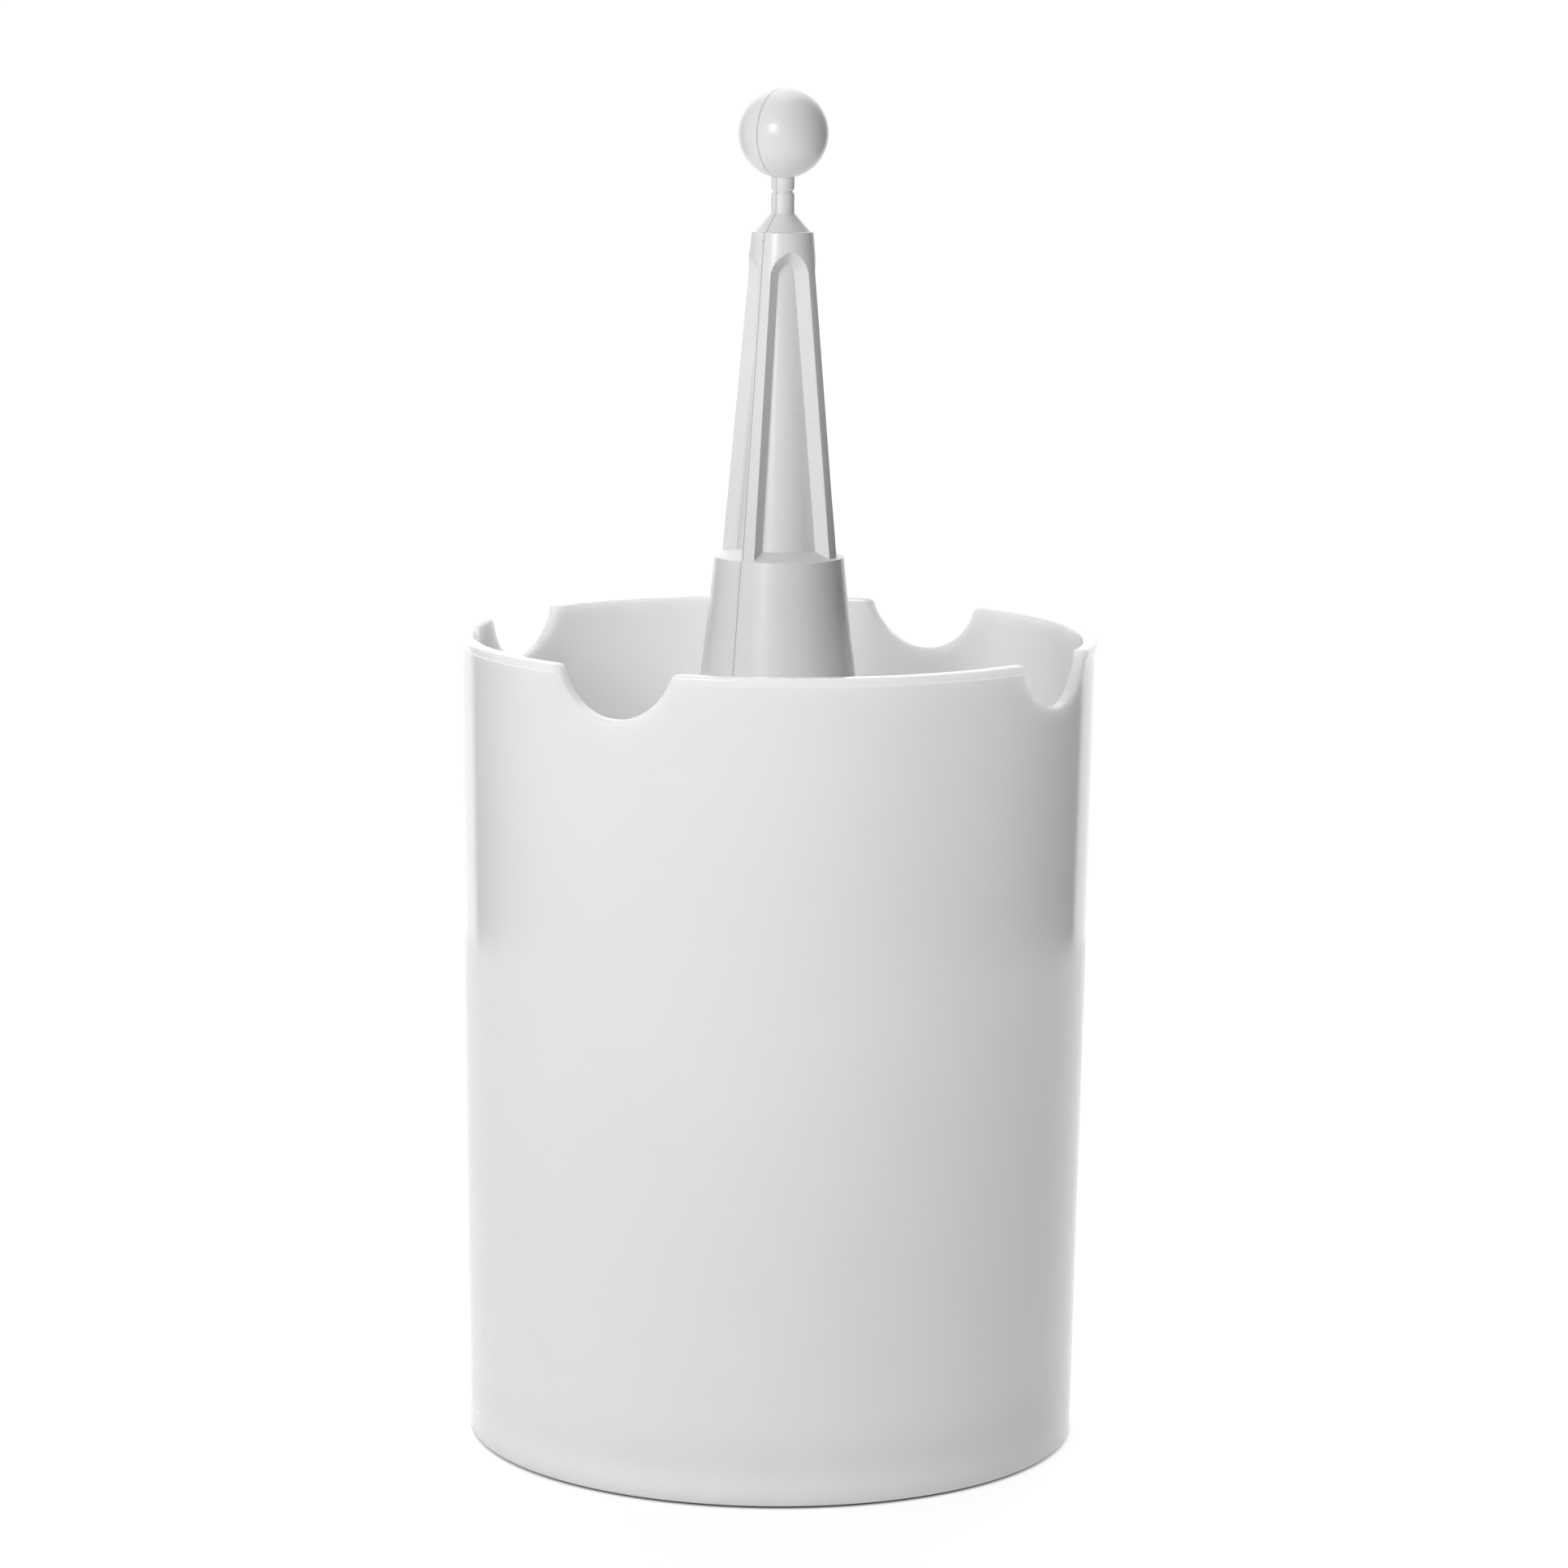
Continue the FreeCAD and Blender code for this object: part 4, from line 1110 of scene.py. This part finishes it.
def studio_world():
    """The room that the gloss mirrors: white behind, dark in front but for a soft grey wall on the left.

    To the camera it is plain white all round.
    """
    world = bpy.data.worlds.new("studio_room")
    bpy.context.scene.world = world
    world.use_nodes = True
    tree = world.node_tree
    tree.nodes.clear()
    facing = node(tree, "ShaderNodeTexCoord", output="Generated")
    turned_room = node(tree, "ShaderNodeMapping", {"vector_type": "VECTOR"},
                       {"Vector": facing, "Rotation": (0.0, 0.0, -FRONT)})
    x, y, z = (node(tree, "ShaderNodeSeparateXYZ", {}, {"Vector": turned_room}, letter) for letter in "XYZ")
    turn = node(tree, "ShaderNodeMath", {"operation": "ARCTAN2"}, {0: x, 1: y * -1.0}) * math.degrees(1)
    back = abs(turn).step(140.0, 147.0)
    left = turn.step(-130.0, -85.0) * (1.0 - turn.step(-10.0, 70.0))
    high = z.step(0.30, 0.80)
    front = 0.03 + 0.42 * left
    light = front + back * (1.35 - front) + 0.08 * high
    seen = node(tree, "ShaderNodeLightPath", output="Is Camera Ray")
    backdrop = node(tree, "ShaderNodeBackground", {}, {"Color": WHITE, "Strength": 1.05})
    room = node(tree, "ShaderNodeBackground", {}, {"Color": WHITE, "Strength": light})
    mixed = node(tree, "ShaderNodeMixShader", {}, {0: seen, 1: room, 2: backdrop})
    node(tree, "ShaderNodeOutputWorld", {}, {"Surface": mixed})


def soft_light(name, place, size, power):
    deselect()
    bpy.ops.object.light_add(type="AREA", location=place)
    lamp = named(name)
    lamp.data.shape = "SQUARE"
    lamp.data.size = size
    lamp.data.energy = power
    lamp.rotation_euler = (AIM - place).to_track_quat("-Z", "Y").to_euler()
    return lamp


class BRUSH_OT_stage(bpy.types.Operator):
    """Pale floor, soft studio light and the camera"""
    bl_idname = "brush_holder.stage"
    bl_label = "Set the stage"

    def execute(self, context):
        deselect()
        bpy.ops.mesh.primitive_circle_add(vertices=96, radius=FLOOR_RADIUS, fill_type="NGON",
                                          location=(0, 0, -0.2 * MM))
        floor = named("studio_floor")
        edit(floor)
        bpy.ops.mesh.inset(thickness=FLOOR_EDGE)
        leave()
        finish = Finish("pale_floor")
        grain = finish.noise(0.02, 3.0)
        tone = finish.mix(grain * 0.3, tint(context.scene.finishes.floor), tint((0.24, 0.24, 0.24)))
        x, y = finish.axis("X"), finish.axis("Y")
        # The floor glows evenly, but its glow is switched off under the pot and only fades back in 0.7 mm
        # past the foot: a painted contact shadow round the pot's base.
        foot = context.scene.pot_sizes.base_radius
        floor_glow_past_painted_contact_shadow = (x * x + y * y).step((foot - 2.0 * MM) ** 2, (foot + 0.7 * MM) ** 2)
        finish.feed(Base_Color=tone, Roughness=0.75 + 0.1 * grain, Specular_IOR_Level=0.1,
                    Emission_Color=finish.mix(floor_glow_past_painted_contact_shadow, BLACK, WHITE), Emission_Strength=0.84)
        floor.data.materials.append(finish.material)
        studio_world()
        for name, turn, rise, away, size, power in SOFTBOXES:
            turn, rise = FRONT + math.radians(turn - 90), math.radians(rise)
            place = AIM + polar(away * math.cos(rise), turn, away * math.sin(rise))
            lamp = soft_light(name, place, size, power)
            lamp.visible_glossy = name == "key_softbox"
        camera_data = bpy.data.cameras.new("studio_camera")
        camera = bpy.data.objects.new("studio_camera", camera_data)
        context.scene.collection.objects.link(camera)
        camera_data.lens = LENS
        camera_data.sensor_width = FILM
        camera_data.clip_start = 0.05
        heading = Matrix.Rotation(FRONT - CAMERA_SWING, 4, "Z")
        pitch = Matrix.Rotation(math.radians(90) - CAMERA_DIP, 4, "X")
        roll = Matrix.Rotation(CAMERA_ROLL, 4, "Z")
        place = polar(CAMERA_AWAY, FRONT - math.radians(90), CAMERA_HIGH)
        camera.matrix_world = Matrix.Translation(place) @ heading @ pitch @ roll
        context.scene.camera = camera
        context.scene.view_settings.view_transform = "Standard"
        return {"FINISHED"}


class BRUSH_PT_panel(bpy.types.Panel):
    """Lists the pieces and their sizes"""
    bl_idname = "BRUSH_PT_panel"
    bl_label = "Brush Holder"
    bl_space_type = "VIEW_3D"
    bl_region_type = "UI"
    bl_category = "Brush Holder"

    def draw(self, context):
        for name, _, operators in GROUPS:
            box = self.layout.box()
            for operator in operators:
                box.operator(operator.bl_idname)
            sizes = getattr(context.scene, name)
            for key in sizes.bl_rna.properties.keys():
                if key not in ("rna_type", "name"):
                    box.prop(sizes, key)


GROUPS = [
    ("pot_sizes", PotSizes, [BRUSH_OT_pot, BRUSH_OT_foot_pads]),
    ("tray_sizes", TraySizes, [BRUSH_OT_tray]),
    ("head_sizes", HeadSizes, [BRUSH_OT_core, BRUSH_OT_bristles, BRUSH_OT_seal]),
    ("handle_sizes", HandleSizes, [BRUSH_OT_handle]),
    ("finishes", Finishes, [BRUSH_OT_fittings, BRUSH_OT_stage]),
]
CLASSES = [sizes for _, sizes, _ in GROUPS] + [one for _, _, operators in GROUPS for one in operators]
CLASSES.append(BRUSH_PT_panel)


def register():
    for one in CLASSES:
        bpy.utils.register_class(one)
    for name, sizes, _ in GROUPS:
        setattr(bpy.types.Scene, name, PointerProperty(type=sizes))


def unregister():
    for name, _, _ in GROUPS:
        delattr(bpy.types.Scene, name)
    for one in reversed(CLASSES):
        bpy.utils.unregister_class(one)


def main():
    register()
    make = bpy.ops.brush_holder
    for operator in (make.stage, make.pot, make.foot_pads, make.tray, make.core, make.bristles, make.seal,
                     make.handle, make.fittings):
        operator()
    bpy.context.view_layer.update()


if __name__ == "__main__":
    main()
